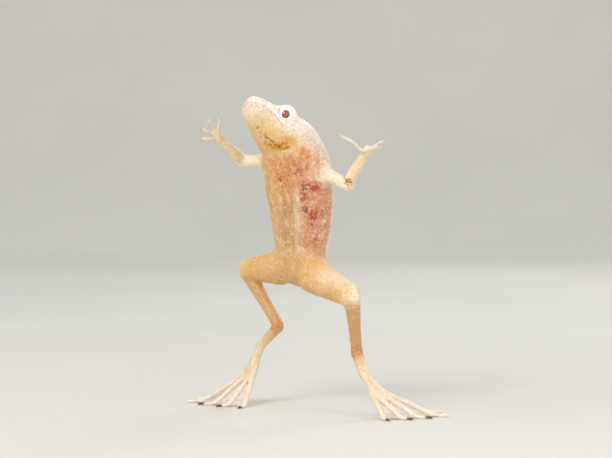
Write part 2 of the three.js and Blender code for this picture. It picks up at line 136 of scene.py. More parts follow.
LEGS = {
    "left": {
        "root": (0.2, -2.2, 27.4),
        "knee": (8.9, -12.6, 23.2),
        "ankle": (10.0, -7.0, 11.7),
        "heel": (11.5, -12.2, 7.9),
        "toes": [
            [(12.9, -14.9, 4.4), (14.1, -17.4, 2.0), (15.3, -20.0)],
            [(13.6, -14.7, 4.5), (16.2, -16.8, 2.1), (19.3, -19.2)],
            [(14.3, -14.2, 4.6), (18.0, -15.6, 2.4), (22.9, -17.4)],
            [(14.7, -13.5, 4.8), (19.3, -13.9, 2.8), (27.6, -14.4)],
            [(14.8, -12.6, 4.8), (19.2, -11.3, 2.6), (26.6, -9.2)],
        ],
    },
    "right": {
        "root": (-3.4, 2.4, 28.1),
        "knee": (-12.3, 11.0, 27.2),
        "ankle": (-5.5, 3.8, 16.1),
        "heel": (-9.2, 6.2, 12.0),
        "toes": [
            [(-10.5, 4.8, 6.9), (-11.6, 2.6, 3.0), (-13.0, -0.8)],
            [(-11.0, 5.2, 6.8), (-13.5, 3.6, 3.0), (-16.9, 1.2)],
            [(-11.6, 5.8, 6.6), (-15.2, 5.3, 3.2), (-20.6, 4.2)],
            [(-12.1, 6.5, 6.6), (-16.3, 7.4, 3.4), (-24.4, 9.0)],
            [(-12.0, 7.3, 6.7), (-15.6, 9.5, 3.2), (-22.4, 13.8)],
        ],
    },
}
TOE = {"heel": 0.7, "root": 0.62, "middle": 0.52, "low": 0.92, "tip": 0.4, "swell": 0.12,
       "ends": (0.3, 0.35), "low_at": 0.62, "height": 0.3, "lift": 0.12}
MIDDLE_TOE = 2
CLAWED = 3
CLAW = {"length": 1.35, "sizes": (0.27, 0.25, 0.18, 0.05), "ends": (0.1, 0.05), "out": 0.4,
        "flat": 0.9, "arch": 0.06, "sag": 0.16, "floor": 0.01}

# A digit's swollen joints, counted along its spine, and how far each swelling reaches.
KNUCKLES = (1, 2, 3)
KNUCKLE_WIDTH = 0.22

# Each stretch of a limb from one joint to the next. A size is a share of the way, the
# millimetres past that, half the width and half the thickness. The ends are how far each end
# is rounded, and the blend is how softly the stretch runs into what is already moulded.
FORMS = {
    "thigh": {
        "sizes": [(0, 0, 4.2, 3.6), (0.35, 0, 3.6, 3.2), (0.7, 0, 2.9, 2.6), (1, 1.0, 2.1, 2.0)],
        "ends": (3, 1.7), "sides": 40, "blend": 2.4,
    },
    "upper_arm": {
        "sizes": [(0, 0, 2.3, 2.1), (0.42, 0, 1.6, 1.5), (0.72, 0, 1.25, 1.25), (1, 1.35, 1.1, 1.1)],
        "ends": (1.5, 0.9), "sides": 24, "blend": 1.2,
    },
    "shank": {
        "sizes": [(0, -0.9, 1.6, 1.6), (0.25, 0, 1.52, 1.46), (0.6, 0, 1.22, 1.18), (1, 0.6, 1.1, 1.1)],
        "ends": (1.5, 1.0), "sides": 32, "blend": 0.8,
    },
    "tarsus": {
        "sizes": [(0, -0.5, 1.15, 1.15), (0.5, 0, 1.12, 0.98), (1, 0.6, 1.2, 0.9)],
        "ends": (0.9, 0.7), "sides": 24, "blend": 0.6,
    },
    "sole": {
        "sizes": [(0, -0.6, 1.1, 0.82), (0.4, 0, 1.4, 0.72), (1, 0.6, 1.6, 0.4)],
        "ends": (0.6, 0.9), "sides": 24, "blend": 0.6,
    },
    "forearm": {
        "sizes": [(0, -1.2, 1.05, 1.05), (0.3, 0, 1.18, 1.05), (0.65, 0, 0.98, 0.88), (1, 0.5, 0.75, 0.6)],
        "ends": (0.9, 0.4), "sides": 24, "blend": 0.6,
    },
    "palm": {
        "sizes": [(0, -0.7, 0.6, 0.5), (0.6, 0, 0.92, 0.52), (1, 0.7, 1.0, 0.46)],
        "ends": (0.4, 0.7), "sides": 24, "blend": 0.4,
    },
}
BLEND = {"trunk": 2.6, "toe": 0.35, "finger": 0.25, "lid": 0.9, "slit": 0.15, "rim": 0.25, "nostril": 0.2}
SIDEWAYS = (1, 0, 0)
UPRIGHT = (0, 0, 1)

# The left side of the frog and the right
SIGNS = (1, -1)

# The corners of the volume that the frog is moulded in.
CLAY_BOX = (-26.5, -22.5, -0.5), (30, 18, 65)


# Curves and frames

def along(values, t):
    """Smooth values between the entries of a list, at places t counted in entries."""
    values = np.asarray(values, float)
    t = np.atleast_1d(np.asarray(t, float))
    last = len(values) - 1
    i = np.clip(np.floor(t).astype(int), 0, last - 1)
    f = (t - i)[:, None]
    ends = np.vstack([2 * values[0] - values[1], values, 2 * values[-1] - values[-2]])
    p0, p1, p2, p3 = (ends[i + k] for k in range(4))
    bend = (2 * p0 - 5 * p1 + 4 * p2 - p3) * f**2 + (3 * p1 - p0 - 3 * p2 + p3) * f**3
    return 0.5 * (2 * p1 + (p2 - p0) * f + bend)


def unit(v):
    return v / np.linalg.norm(v, axis=-1, keepdims=True)


def direction_at(values, t, last):
    """The way that a curve through points runs, at places t."""
    return unit(along(values, np.minimum(t + TANGENT, last)) - along(values, np.maximum(t - TANGENT, 0)))


def body_frames(t):
    """At places t: centre, forward, left and up of the body, and its sizes."""
    t = np.atleast_1d(np.asarray(t, float))
    values = along(BODY, t)
    forward = direction_at(BODY[:, :3], t, SNOUT)
    near = unit(np.array([0.0, -1.0, 0.0]) + forward * forward[:, 1:2])
    across = np.cross(forward, near)
    roll = np.radians(values[:, 6:7])
    left = near * np.cos(roll) + across * np.sin(roll)
    up = -near * np.sin(roll) + across * np.cos(roll)
    return values[:, :3], forward, left, up, values[:, 3:6]


def body_frame(place):
    """Centre, forward, left and up at one place."""
    return (values[0] for values in body_frames(place)[:4])


def on_body(place, left, up, forward=0.0):
    centre, ahead, side, top = body_frame(place)
    return centre + side * left + top * up + ahead * forward


def rounded_places(steps, start, end, rings):
    """Places from 0 to 1 that close up towards rounded ends, and the share of the section."""
    places = []
    for i in range(rings if start > 0 else 0):
        a = math.pi / 2 * i / rings
        places.append((start * (1 - math.cos(a)), math.sin(a)))
    for i in range(steps + 1):
        places.append((start + (1 - end - start) * i / steps, 1.0))
    for i in reversed(range(rings if end > 0 else 0)):
        a = math.pi / 2 * i / rings
        places.append((1 - end * (1 - math.cos(a)), math.sin(a)))
    return np.array(places)


# Rings to a closed surface

def close_rings(rings):
    """Points and triangles of a closed tube over equal rings."""
    rings = np.asarray(rings)
    count, sides, _ = rings.shape
    points = np.vstack([rings.reshape(-1, 3), rings[0].mean(0), rings[-1].mean(0)])
    first, last = count * sides, count * sides + 1
    k = np.arange(sides)
    after = (k + 1) % sides
    faces = []
    for r in range(count - 1):
        a, b, c, d = r * sides + k, r * sides + after, (r + 1) * sides + k, (r + 1) * sides + after
        faces += [np.stack([a, b, d], 1), np.stack([a, d, c], 1)]
    faces.append(np.stack([np.full(sides, first), after, k], 1))
    tail = (count - 1) * sides
    faces.append(np.stack([np.full(sides, last), tail + k, tail + after], 1))
    return points.astype(np.float32), np.vstack(faces).astype(np.uint32)


def body_rings(steps=90, sides=64):
    places = rounded_places(steps, TRUNK_ENDS["rump"], TRUNK_ENDS["snout"], TRUNK_ENDS["rings"])
    centre, _, left, up, size = body_frames(places[:, 0] * SNOUT)
    a = np.linspace(0, 2 * np.pi, sides, endpoint=False)
    x = np.sign(np.cos(a)) * np.abs(np.cos(a)) ** (2 / SQUARENESS)
    y = np.sign(np.sin(a)) * np.abs(np.sin(a)) ** (2 / SQUARENESS)
    share = np.maximum(places[:, 1:2], TIP_SHARE)
    wide = size[:, 0:1] * share * x
    tall = np.where(y > 0, size[:, 1:2], size[:, 2:3]) * share * y
    return centre[:, None] + left[:, None] * wide[..., None] + up[:, None] * tall[..., None]


def limb(points, flat, start=0.0, end=0.0, steps=24, sides=24, rings=8):
    """A limb along points (x, y, z, wide, thick), with ends rounded over some millimetres."""
    points = np.asarray(points, float)
    last = len(points) - 1
    length = np.linalg.norm(np.diff(points[:, :3], axis=0), axis=1).sum()
    places = rounded_places(steps, start / length, end / length, rings)
    t = places[:, 0] * last
    values = along(points, t)
    forward = direction_at(points[:, :3], t, last)
    across = unit(np.cross(np.asarray(flat, float), forward))
    out = np.cross(forward, across)
    share = np.maximum(places[:, 1], TIP_SHARE)
    a = np.linspace(0, 2 * np.pi, sides, endpoint=False)[None, :, None]
    wide = (values[:, 3] * share)[:, None, None] * np.cos(a)
    thick = (values[:, 4] * share)[:, None, None] * np.sin(a)
    return close_rings(values[:, None, :3] + across[:, None] * wide + out[:, None] * thick)


def station(at, wide, thick=None):
    """A point of a limb, with half its width and half its thickness there."""
    return (*at, wide, wide if thick is None else thick)


def between(a, b, share):
    """The point that lies a share of the way from a to b."""
    return np.asarray(a, float) * (1 - share) + np.asarray(b, float) * share


# The clay: one volume that every part of the frog is blended into

class Clay:
    """Distances to the surface on a grid, in millimetres. EMPTY is the distance at first."""

    EMPTY = 3.2

    def __init__(self, low, high, voxel):
        self.voxel = voxel
        self.low = np.floor(np.asarray(low) / voxel).astype(int)
        size = np.ceil(np.asarray(high) / voxel).astype(int) - self.low
        self.values = np.full(size, self.EMPTY, np.float32)

    def _local(self, shape, reach):
        """Distances to a shape on the cells around it, and which cells those are."""
        points, faces = shape
        grid = vdb.FloatGrid.createLevelSetFromPolygons(
            np.ascontiguousarray(points, dtype=np.float32),
            triangles=np.ascontiguousarray(faces, dtype=np.uint32),
            transform=vdb.createLinearTransform(self.voxel),
            halfWidth=float(math.ceil(reach / self.voxel) + 4),
        )
        low, high = (np.array(c) for c in grid.evalActiveVoxelBoundingBox())
        low = np.maximum(low, self.low)
        high = np.minimum(high + 1, self.low + self.values.shape)
        local = np.zeros(high - low, np.float32)
        grid.copyToArray(local, ijk=tuple(int(v) for v in low))
        at = tuple(slice(a, b) for a, b in zip(low - self.low, high - self.low))
        return local, at

    def add(self, shape, blend):
        """A shape is joined on, and the join is softened over a blend in millimetres."""
        local, at = self._local(shape, blend)
        here = self.values[at]
        both = np.clip(blend - np.abs(here - local), 0, None)
        self.values[at] = np.minimum(here, local) - both**2 / (4 * blend)

    def carve(self, shape, blend):
        """A shape is cut away, and the edge of the cut is softened in the same way."""
        local, at = self._local(shape, blend)
        here = self.values[at]
        both = np.clip(blend - np.abs(here + local), 0, None)
        self.values[at] = np.maximum(here, -local) + both**2 / (4 * blend)

    def level(self, height):
        """Everything below a height is cut away flat."""
        z = (np.arange(self.values.shape[2]) + self.low[2]) * self.voxel
        np.maximum(self.values, (height - z).astype(np.float32), out=self.values)

    def surface(self):
        """The surface as points, triangles and quads."""
        near = 3 * self.voxel
        grid = vdb.FloatGrid(near)
        low = tuple(int(v) for v in self.low)
        grid.copyFromArray(np.clip(self.values, -near, near), ijk=low, tolerance=1e-5)
        grid.transform = vdb.createLinearTransform(self.voxel)
        points, triangles, quads = grid.convertToPolygons(isovalue=0.0, adaptivity=0.0)
        return points.astype(float), triangles, quads


def ball(centre, radius, sides=48):
    pole = 0.02
    a = np.linspace(pole, math.pi - pole, sides // 2)
    b = np.linspace(0, 2 * math.pi, sides, endpoint=False)
    x = np.sin(a)[:, None] * np.cos(b)
    y = np.sin(a)[:, None] * np.sin(b)
    z = np.cos(a)[:, None] * np.ones_like(b)
    return close_rings(np.asarray(centre) + radius * np.stack([x, y, z], 2))


def ring_round(axis):
    """Two directions that span the plane across an axis."""
    side = unit(np.cross(axis, (0.3, 0.2, 0.9)))
    return side, np.cross(axis, side)


def ring_tube(centre, axis, radius, tube, sides=48, around=14):
    """A torus, as a closed tube whose ends meet inside it."""
    side, top = ring_round(axis)
    a = np.linspace(0, 2 * math.pi, sides + 1)[:, None, None]
    b = np.linspace(0, 2 * math.pi, around, endpoint=False)[None, :, None]
    out = side * np.cos(a) + top * np.sin(a)
    return close_rings(centre + out * (radius + tube * np.cos(b)) + axis * tube * np.sin(b))


def eye_direction(sign, shares):
    """A direction at an eye from its shares to the side, up and forward."""
    _, forward, left, up = body_frame(EYE["place"])
    return unit(left * sign * shares[0] + up * shares[1] + forward * shares[2])


def eye_seat(sign):
    """Where an eye lies, the way that its socket faces and the way that it looks."""
    return {
        "centre": on_body(EYE["place"], sign * EYE["side"], EYE["up"]),
        "aim": eye_direction(sign, EYE_AIM),
        "gaze": eye_direction(sign, EYE_GAZE),
    }


EYES = {side: eye_seat(sign) for side, sign in zip(("left", "right"), SIGNS)}


# The frog's parts, as closed shapes to blend

def nostril(sign):
    """A short slanting hole, as the shape to carve away."""
    ends = []
    for side, up, forward in (NOSTRIL["top"], NOSTRIL["bottom"]):
        ends.append(station(on_body(NOSTRIL["place"], sign * side, up, forward), NOSTRIL["radius"]))
    return limb(ends, SIDEWAYS, steps=4, sides=16)


def stretch(name, start, end, flat):
    """One stretch of a limb from joint to joint."""
    form = FORMS[name]
    way = unit(np.asarray(end, float) - np.asarray(start, float))
    stations = []
    for share, past, wide, thick in form["sizes"]:
        stations.append(station(between(start, end, share) + way * past, wide, thick))
    return limb(stations, flat, *form["ends"], sides=form["sides"])


def jointed(spine, sizes, swell):
    """Extra stations along a digit, with a slight swelling at each joint."""
    t = np.linspace(0, len(spine) - 1, 4 * (len(spine) - 1) + 1)
    path = along(spine, t)
    size = along(np.array(sizes)[:, None], t)[:, 0]
    for knuckle in KNUCKLES:
        size = size * (1 + swell * np.exp(-((t - knuckle) / KNUCKLE_WIDTH) ** 2))
    return [station(p, s) for p, s in zip(path, size)]


def finger(arm, points):
    """A thin digit from the palm, thinner towards its tip."""
    sizes = [FINGER[name] for name in ("root", "root", "middle", "middle", "tip")]
    dense = jointed([arm["palm"], *points], sizes, FINGER["swell"])
    return limb(dense, arm["flat"], *FINGER["ends"], steps=30, sides=14)


def toe_spine(leg, toe):
    """A toe from the heel down to the floor, where its last stretch lies flat."""
    joint, middle, tip = toe[0], toe[1], (*toe[2], TOE["height"])
    low = between(middle, tip, TOE["low_at"])
    low[2] = TOE["height"] + TOE["lift"]
    return [leg["heel"], joint, middle, low, tip]


def toe_shape(leg, toe):
    sizes = [TOE["heel"], TOE["root"], TOE["middle"], TOE["middle"] * TOE["low"], TOE["tip"]]
    dense = jointed(toe_spine(leg, toe), sizes, TOE["swell"])
    return limb(dense, UPRIGHT, *TOE["ends"], steps=36, sides=16)


def mould_stretch(clay, name, start, end, flat):
    clay.add(stretch(name, start, end, flat), FORMS[name]["blend"])


def mould_lower_leg(clay, leg):
    mould_stretch(clay, "shank", leg["knee"], leg["ankle"], SIDEWAYS)
    mould_stretch(clay, "tarsus", leg["ankle"], leg["heel"], UPRIGHT)
    mould_stretch(clay, "sole", leg["heel"], leg["toes"][MIDDLE_TOE][0], UPRIGHT)
    for toe in leg["toes"]:
        clay.add(toe_shape(leg, toe), BLEND["toe"])


def mould_lower_arm(clay, arm):
    mould_stretch(clay, "forearm", arm["elbow"], arm["wrist"], arm["flat"])
    mould_stretch(clay, "palm", arm["wrist"], arm["palm"], arm["flat"])
    for points in arm["fingers"]:
        clay.add(finger(arm, points), BLEND["finger"])


def mould_lid(clay, centre, gaze):
    """A ball of lid round the eye, opened where the eye looks out, with a thin rim."""
    clay.add(ball(centre - gaze * LID["set"], LID["radius"]), BLEND["lid"])
    clay.carve(ball(centre + gaze * SLIT["along"], SLIT["radius"]), BLEND["slit"])
    clay.add(ring_tube(centre + gaze * RIM["along"], gaze, RIM["radius"], RIM["tube"]), BLEND["rim"])


def mould_frog():
    """The whole frog as one volume, with soft joins between its parts."""
    clay = Clay(*CLAY_BOX, VOXEL)
    clay.add(close_rings(body_rings()), BLEND["trunk"])
    for leg in LEGS.values():
        mould_stretch(clay, "thigh", leg["root"], leg["knee"], UPRIGHT)
    for arm in ARMS.values():
        mould_stretch(clay, "upper_arm", arm["root"], arm["elbow"], arm["flat"])
    for leg in LEGS.values():
        mould_lower_leg(clay, leg)
    for arm in ARMS.values():
        mould_lower_arm(clay, arm)
    for seat in EYES.values():
        mould_lid(clay, seat["centre"], seat["gaze"])
    for sign in SIGNS:
        clay.carve(nostril(sign), BLEND["nostril"])
    clay.level(0.0)
    return clay.surface()


# Where each point of the skin lies on the frog

def nearest_on_body(points, count=300):
    """For each point: its place along the body, how far left and up it is, and how far off."""
    t = np.linspace(0, SNOUT, count)
    centre, forward, left, up, size = body_frames(t)
    best = np.empty(len(points), int)
    for start in range(0, len(points), CHUNK):
        chunk = points[start:start + CHUNK]
        far = ((chunk[:, None] - centre[None]) ** 2).sum(2)
        best[start:start + CHUNK] = far.argmin(1)
    offset = points - centre[best]
    side = (offset * left[best]).sum(1)
    top = (offset * up[best]).sum(1)
    tall = np.where(top > 0, size[best, 1], size[best, 2])
    out = np.hypot(side / size[best, 0], top / tall)
    return {
        "place": t[best],
        "left": side,
        "up": top,
        "off": np.linalg.norm(offset, axis=1) * (1 - 1 / np.maximum(out, 0.3)),
    }


def nearest_on_chain(points, spine, sizes, count=60):
    """For each point: its place along a limb, and how far it is off the limb's own surface."""
    t = np.linspace(0, len(spine) - 1, count)
    path = along(spine, t)
    size = along(np.array(sizes)[:, None], t)[:, 0]
    place = np.zeros(len(points))
    off = np.full(len(points), FAR)
    near = ((points > path.min(0) - REACH) & (points < path.max(0) + REACH)).all(1)
    for rows in np.array_split(np.flatnonzero(near), max(1, near.sum() // CHUNK)):
        far = np.linalg.norm(points[rows, None] - path[None], axis=2) - size[None]
        best = far.argmin(1)
        place[rows] = t[best]
        off[rows] = far[np.arange(len(rows)), best]
    return place, off


def smooth(value, low, high):
    """0 below low, 1 above high and an even turn between, also where low is the higher."""
    share = np.clip((value - low) / (high - low), 0, 1)
    return share * share * (3 - 2 * share)


def bump(value, centre, width):
    return np.exp(-(((value - centre) / width) ** 2))


def ripples(value, spacing):
    return np.sin(value * 2 * np.pi / spacing)


def distance(points, centre):
    return np.linalg.norm(points - np.asarray(centre), axis=1)


class Rough:
    """Smooth random values in space, the same on every run."""

    def __init__(self, seed, cells=24):
        self.cells = cells
        self.grid = np.random.default_rng(seed).random((cells, cells, cells)) * 2 - 1

    def at(self, points, size):
        cell = np.floor(points / size).astype(int)
        share = points / size - cell
        share = share * share * (3 - 2 * share)
        total = np.zeros(len(points))
        for corner in itertools.product((0, 1), repeat=3):
            weight = np.prod(np.where(corner, share, 1 - share), axis=1)
            x, y, z = ((cell + corner) % self.cells).T
            total += weight * self.grid[x, y, z]
        return total


# Meshes

eye_low, eye_high = (np.array(c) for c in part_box("eye_left"))
OFFSET = (eye_low + eye_high) / 2 / MM - EYES["left"]["centre"]


def to_metres(points):
    return (np.asarray(points) + OFFSET) * MM


def new_object(name, points, faces, material=None):
    mesh = bpy.data.meshes.new(name)
    mesh.from_pydata(points.tolist(), [], [tuple(int(i) for i in face) for face in faces])
    mesh.shade_smooth()
    if material:
        mesh.materials.append(material)
    made = bpy.data.objects.new(name, mesh)
    bpy.context.scene.collection.objects.link(made)
    return made


def baked(name, maker):
    """A plain mesh object in place of one whose modifiers made its shape."""
    graph = bpy.context.evaluated_depsgraph_get()
    mesh = bpy.data.meshes.new_from_object(maker.evaluated_get(graph))
    bpy.data.objects.remove(maker)
    mesh.name = name
    made = bpy.data.objects.new(name, mesh)
    bpy.context.scene.collection.objects.link(made)
    return made


def place_piece(piece, nodes):
    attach(piece, "root")
    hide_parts(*nodes)


def read_mesh(mesh):
    """Points in the frog's own millimetres, and the direction out of the surface at each."""
    points = np.empty(len(mesh.vertices) * 3, np.float32)
    mesh.vertices.foreach_get("co", points)
    normals = np.empty(len(mesh.vertices) * 3, np.float32)
    mesh.vertex_normals.foreach_get("vector", normals)
    return points.reshape(-1, 3).astype(float) / MM - OFFSET, normals.reshape(-1, 3).astype(float)


def write_points(mesh, points):
    mesh.vertices.foreach_set("co", to_metres(points).astype(np.float32).ravel())
    mesh.update()


def write_values(mesh, name, values):
    """One number or one colour for each point, for the materials to read."""
    if values.ndim == 1:
        layer = mesh.attributes.new(name, "FLOAT", "POINT")
        layer.data.foreach_set("value", values.astype(np.float32))
    else:
        layer = mesh.attributes.new(name, "FLOAT_COLOR", "POINT")
        full = np.ones((len(values), 4), np.float32)
        full[:, :values.shape[1]] = values
        layer.data.foreach_set("color", full.ravel())


# The skin's shape

# Lower weights keep more of the skin's points, so the head keeps most and the limbs least.
WEIGHT = {"trunk": 0.5, "head": -0.1, "limbs": 0.15}
HEAD_FROM, HEAD_FULL = 49.0, 52.0


def thinning_weights(points):
    off = nearest_on_body(points)["off"]
    head = smooth(points[:, 2], HEAD_FROM, HEAD_FULL) * smooth(off, 2.0, 1.0)
    return WEIGHT["trunk"] + WEIGHT["head"] * head + WEIGHT["limbs"] * smooth(off, 1.0, 2.5)


def thinned(name, points, triangles, quads):
    """The moulded surface with fewer faces, evenly spread: closest on the head, widest on the limbs."""
    made = new_object(name + "_full", to_metres(points), [*quads, *triangles])
    count = 2 * len(quads) + len(triangles)
    steps = np.round(thinning_weights(points) * WEIGHT_STEPS)
    group = made.vertex_groups.new(name="thin")
    for level in range(WEIGHT_STEPS):
        rows = np.flatnonzero(steps == level)
        if len(rows):
            group.add(rows.tolist(), level / WEIGHT_STEPS, "REPLACE")
    thin = made.modifiers.new("thin", "DECIMATE")
    thin.ratio = min(1.0, SKIN_TRIANGLES / count)
    thin.vertex_group = "thin"
    thin.vertex_group_factor = 0.5
    piece = baked(name, made)
    piece.data.shade_smooth()
    return piece


def mouth_height(place):
    return np.interp(place, MOUTH_PLACES, MOUTH_HEIGHTS)


# How far the skin stands out at each form, in millimetres. A minus sign means a hollow.
RELIEF = {
    "upper_lip": 0.12, "lower_lip": 0.12, "mouth_seam": -0.3, "overhang": 0.1,
    "throat_fold": -0.14, "throat": 0.1, "snout_dip": -0.34, "snout_front": 0.42, "belly_line": -0.1,
    "lumps": 0.1, "dimples": 0.05, "grain": 0.03, "armpit": 0.07, "groin": 0.1, "knee": 0.05,
    "nostril": 0.08,
}


def mouth_relief(place, lip):
    """Two lips with the mouth's seam between them, and an upper lip that stands a little proud."""
    raised = RELIEF["upper_lip"] * bump(lip, 0.45, 0.26)
    raised += RELIEF["lower_lip"] * bump(lip, -0.42, 0.22)
    raised += RELIEF["mouth_seam"] * bump(lip, 0, 0.18)
    raised += RELIEF["overhang"] * smooth(lip, -0.1, 0.1) * smooth(lip, 1.2, 0.5)
    return raised * smooth(place, 7.45, 7.9)


def trunk_relief(place, left, up):
    """A fold across the throat, a line down the belly, and a snout that dips and ends blunt."""
    under = smooth(up, 0.5, -2.0)
    trunk = smooth(place, 5.4, 4.6) * smooth(place, 0.6, 1.6)
    raised = RELIEF["throat_fold"] * under * bump(place, 7.2, 0.14) * bump(left, -1.5, 3.0)
    raised += RELIEF["throat"] * under * bump(place, 7.8, 0.35)
    raised += RELIEF["snout_dip"] * smooth(up, 0.8, 1.8) * bump(place, 9.15, 0.5)
    raised += RELIEF["snout_front"] * smooth(up, 0.2, 1.2) * smooth(place, 9.65, 9.9)
    raised += RELIEF["belly_line"] * under * bump(left, 0.0, 0.5) * trunk
    return raised


def grain_relief(points, place, off):
    """Lumps, dimples and grain, fading out along the limbs. The snout has only the grain."""
    coarse, middle, fine = (Rough(SEED + k) for k in range(3))
    broad = RELIEF["lumps"] * coarse.at(points, 3.1) + RELIEF["dimples"] * middle.at(points, 1.3)
    grain = RELIEF["grain"] * fine.at(points, 0.5)
    return smooth(off, 4.0, 1.0) * (broad * smooth(place, 9.4, 6.0) + grain)


def joint_relief(points, on_trunk):
    """Folds of skin round the roots of the limbs and over the knees."""
    raised = np.zeros(len(points))
    for arm in ARMS.values():
        away = distance(points, between(arm["root"], arm["elbow"], 0.36))
        raised += RELIEF["armpit"] * ripples(away, 0.95) * bump(away, 2.6, 0.9) * on_trunk
    for leg in LEGS.values():
        away = distance(points, between(leg["root"], leg["knee"], 0.34))
        raised += RELIEF["groin"] * ripples(away, 1.3) * bump(away, 4.6, 1.0) * on_trunk
        bend = distance(points, leg["knee"])
        raised += RELIEF["knee"] * ripples(points[:, 2], 0.8) * bump(bend, 2.0, 1.0)
    return raised


def nostril_relief(points):
    raised = np.zeros(len(points))
    for sign in SIGNS:
        rim = distance(points, on_body(NOSTRIL["place"], sign * 1.22, 2.1, 0.1))
        raised += RELIEF["nostril"] * bump(rim, 0.5, 0.2)
    return raised


def relief(points, near):
    """How far each point of the skin is raised, in millimetres."""
    place, left, up, off = near["place"], near["left"], near["up"], near["off"]
    on_trunk = smooth(off, 1.6, 0.5)
    forms = mouth_relief(place, up - mouth_height(place)) + trunk_relief(place, left, up)
    limbs = joint_relief(points, on_trunk)
    return on_trunk * forms + grain_relief(points, place, off) + limbs + nostril_relief(points)


def relief_applied(piece):
    """The skin's points after they are raised, and where each lies on the body. The soles stay flat."""
    points, normals = read_mesh(piece.data)
    near = nearest_on_body(points)
    above_floor = smooth(points[:, 2], 0.0, 1.2)
    points = points + normals * (relief(points, near) * above_floor)[:, None]
    points[:, 2] = np.maximum(points[:, 2], 0.0)
    write_points(piece.data, points)
    return points, nearest_on_body(points)


# The skin's paint

def linear(hex_colour):
    """A named colour as linear red, green and blue."""
    parts = np.array([int(hex_colour[i:i + 2], 16) for i in (1, 3, 5)]) / 255
    return np.where(parts <= 0.04045, parts / 12.92, ((parts + 0.055) / 1.055) ** 2.4)


PAINT = {name: linear(code) for name, code in {
    "white": "#fbf4ec",
    "pale": "#f6e7d8",
    "cream": "#f1dfb6",
    "throat": "#efcf94",
    "ochre": "#e5ac4e",
    "chest": "#e09a5e",
    "belly": "#d0a66c",
    "low": "#dcae74",
    "pink": "#dd9a7e",
    "yellow": "#dcb26a",
    "gold": "#deb064",
    "gold_pale": "#efd3a0",
    "knee": "#f8efe2",
    "shank": "#cfa266",
    "shank_pale": "#dcb680",
    "ankle": "#cf8752",
    "instep": "#e6cd9e",
    "foot": "#e9d8b8",
    "toe": "#f1e6d8",
    "arm": "#f0dfbc",
    "elbow": "#f7eedc",
    "forearm": "#f0deb6",
    "hand": "#ecdcba",
    "finger": "#e3dacb",
    "tip": "#a8a79f",
    "back": "#f3e0cb",
    # The colour of the painted shade in the mouth's crease
    "crease_shade": "#c99a6a",
    "brown": "#a87a40",
}.items()}

# Along the trunk: how high up the sides the belly's paint reaches, and what that paint is.
BELLY_LINE = [(0, 0.8), (1.5, 0.6), (3.0, 0.6), (4.4, 0.3), (5.2, -1.2), (6.0, -2.3), (7.0, -2.3),
              (8.0, -1.6), (9.0, -1.2), (10.0, -1.1)]
BELLY_PAINT = [(0, "low"), (1.6, "low"), (3.0, "belly"), (4.4, "chest"), (5.7, "chest"), (6.3, "throat"),
               (6.9, "ochre"), (7.5, "throat"), (8.4, "throat"), (9.2, "cream"), (10.0, "pale")]


def painted_along(place, stops):
    places = [stop for stop, _ in stops]
    colours = np.array([PAINT[name] for _, name in stops])
    return np.stack([np.interp(place, places, colours[:, k]) for k in range(3)], 1)


def mixed(a, b, share):
    return a + (b - a) * share[:, None]


# How fast one part's paint gives way to the next, in millimetres.
PAINT_FADE = 0.55

# Patches of another colour, two of them painted light: where each is, its size, its colour and its strength.
PATCHES = [
    ((10.3, -13.9, 24.6), 1.6, "knee", 1.0),
    ((10.0, -14.2, 22.6), 1.2, "knee", 0.8),
    ((-13.2, 9.6, 28.3), 2.2, "gold_pale", 0.7),
    ((10.0, -7.6, 11.9), 1.5, "ankle", 0.85),
    ((-5.2, 3.4, 16.2), 1.6, "ankle", 0.6),
    ((10.9, -10.2, 8.6), 0.9, "ankle", 0.45),
    ((8.2, -12.6, 45.0), 1.6, "elbow", 0.7),
    ((3.2, -10.4, 47.0), 2.4, "white", 0.45),
    # These two whiten the top of the left thigh: painted light, where the lamp falls on its upper side.
    ((4.6, -9.6, 27.6), 3.0, "white", 0.45),
    ((7.6, -11.6, 26.4), 2.4, "white", 0.45),
    ((1.4, -11.4, 51.4), 2.6, "pink", 0.3),
]

# The paint and the sizes along each limb, counted in the entries of its spine.
ARM_SIZES = [1.9, 1.2, 0.75, 0.9]
ARM_ROOT_PAINT = {"left": "chest", "right": "yellow"}
ARM_PAINT = [(0.45, "arm"), (0.9, "elbow"), (1.3, "forearm"), (3, "hand")]
FINGER_SIZES = [0.4, 0.38, 0.3, 0.28, 0.24]
# The fingers turn grey towards their tips.
FINGER_PAINT = [(0, "hand"), (2, "finger"), (3.4, "finger"), (4, "tip")]
LEG_SIZES = [3.9, 2.3, 1.1, 1.1, 1.2]
LEG_PAINT = [(0, "low"), (0.35, "gold"), (0.8, "gold"), (1.0, "gold_pale"), (1.25, "shank"), (1.75, "shank"),
             (2.05, "ankle"), (2.35, "shank_pale"), (2.75, "instep"), (3.0, "instep"), (3.4, "foot"),
             (4.0, "foot")]
TOE_SIZES = [0.7, 0.62, 0.52, 0.48, 0.4]
TOE_PAINT = [(0, "foot"), (1, "foot"), (2.2, "toe"), (4, "toe")]


def chains():
    """Every limb as a spine, the sizes along it and the paint along it."""
    for side, arm in ARMS.items():
        spine = [arm["root"], arm["elbow"], arm["wrist"], arm["palm"]]
        yield spine, ARM_SIZES, [(0, ARM_ROOT_PAINT[side]), *ARM_PAINT]
        for points in arm["fingers"]:
            yield [arm["palm"], *points], FINGER_SIZES, FINGER_PAINT
    for leg in LEGS.values():
        spine = [leg["root"], leg["knee"], leg["ankle"], leg["heel"], leg["toes"][MIDDLE_TOE][0]]
        yield spine, LEG_SIZES, LEG_PAINT
        for toe in leg["toes"]:
            yield toe_spine(leg, toe), TOE_SIZES, TOE_PAINT


def tinted(colour, name, share):
    return mixed(colour, PAINT[name][None], share)


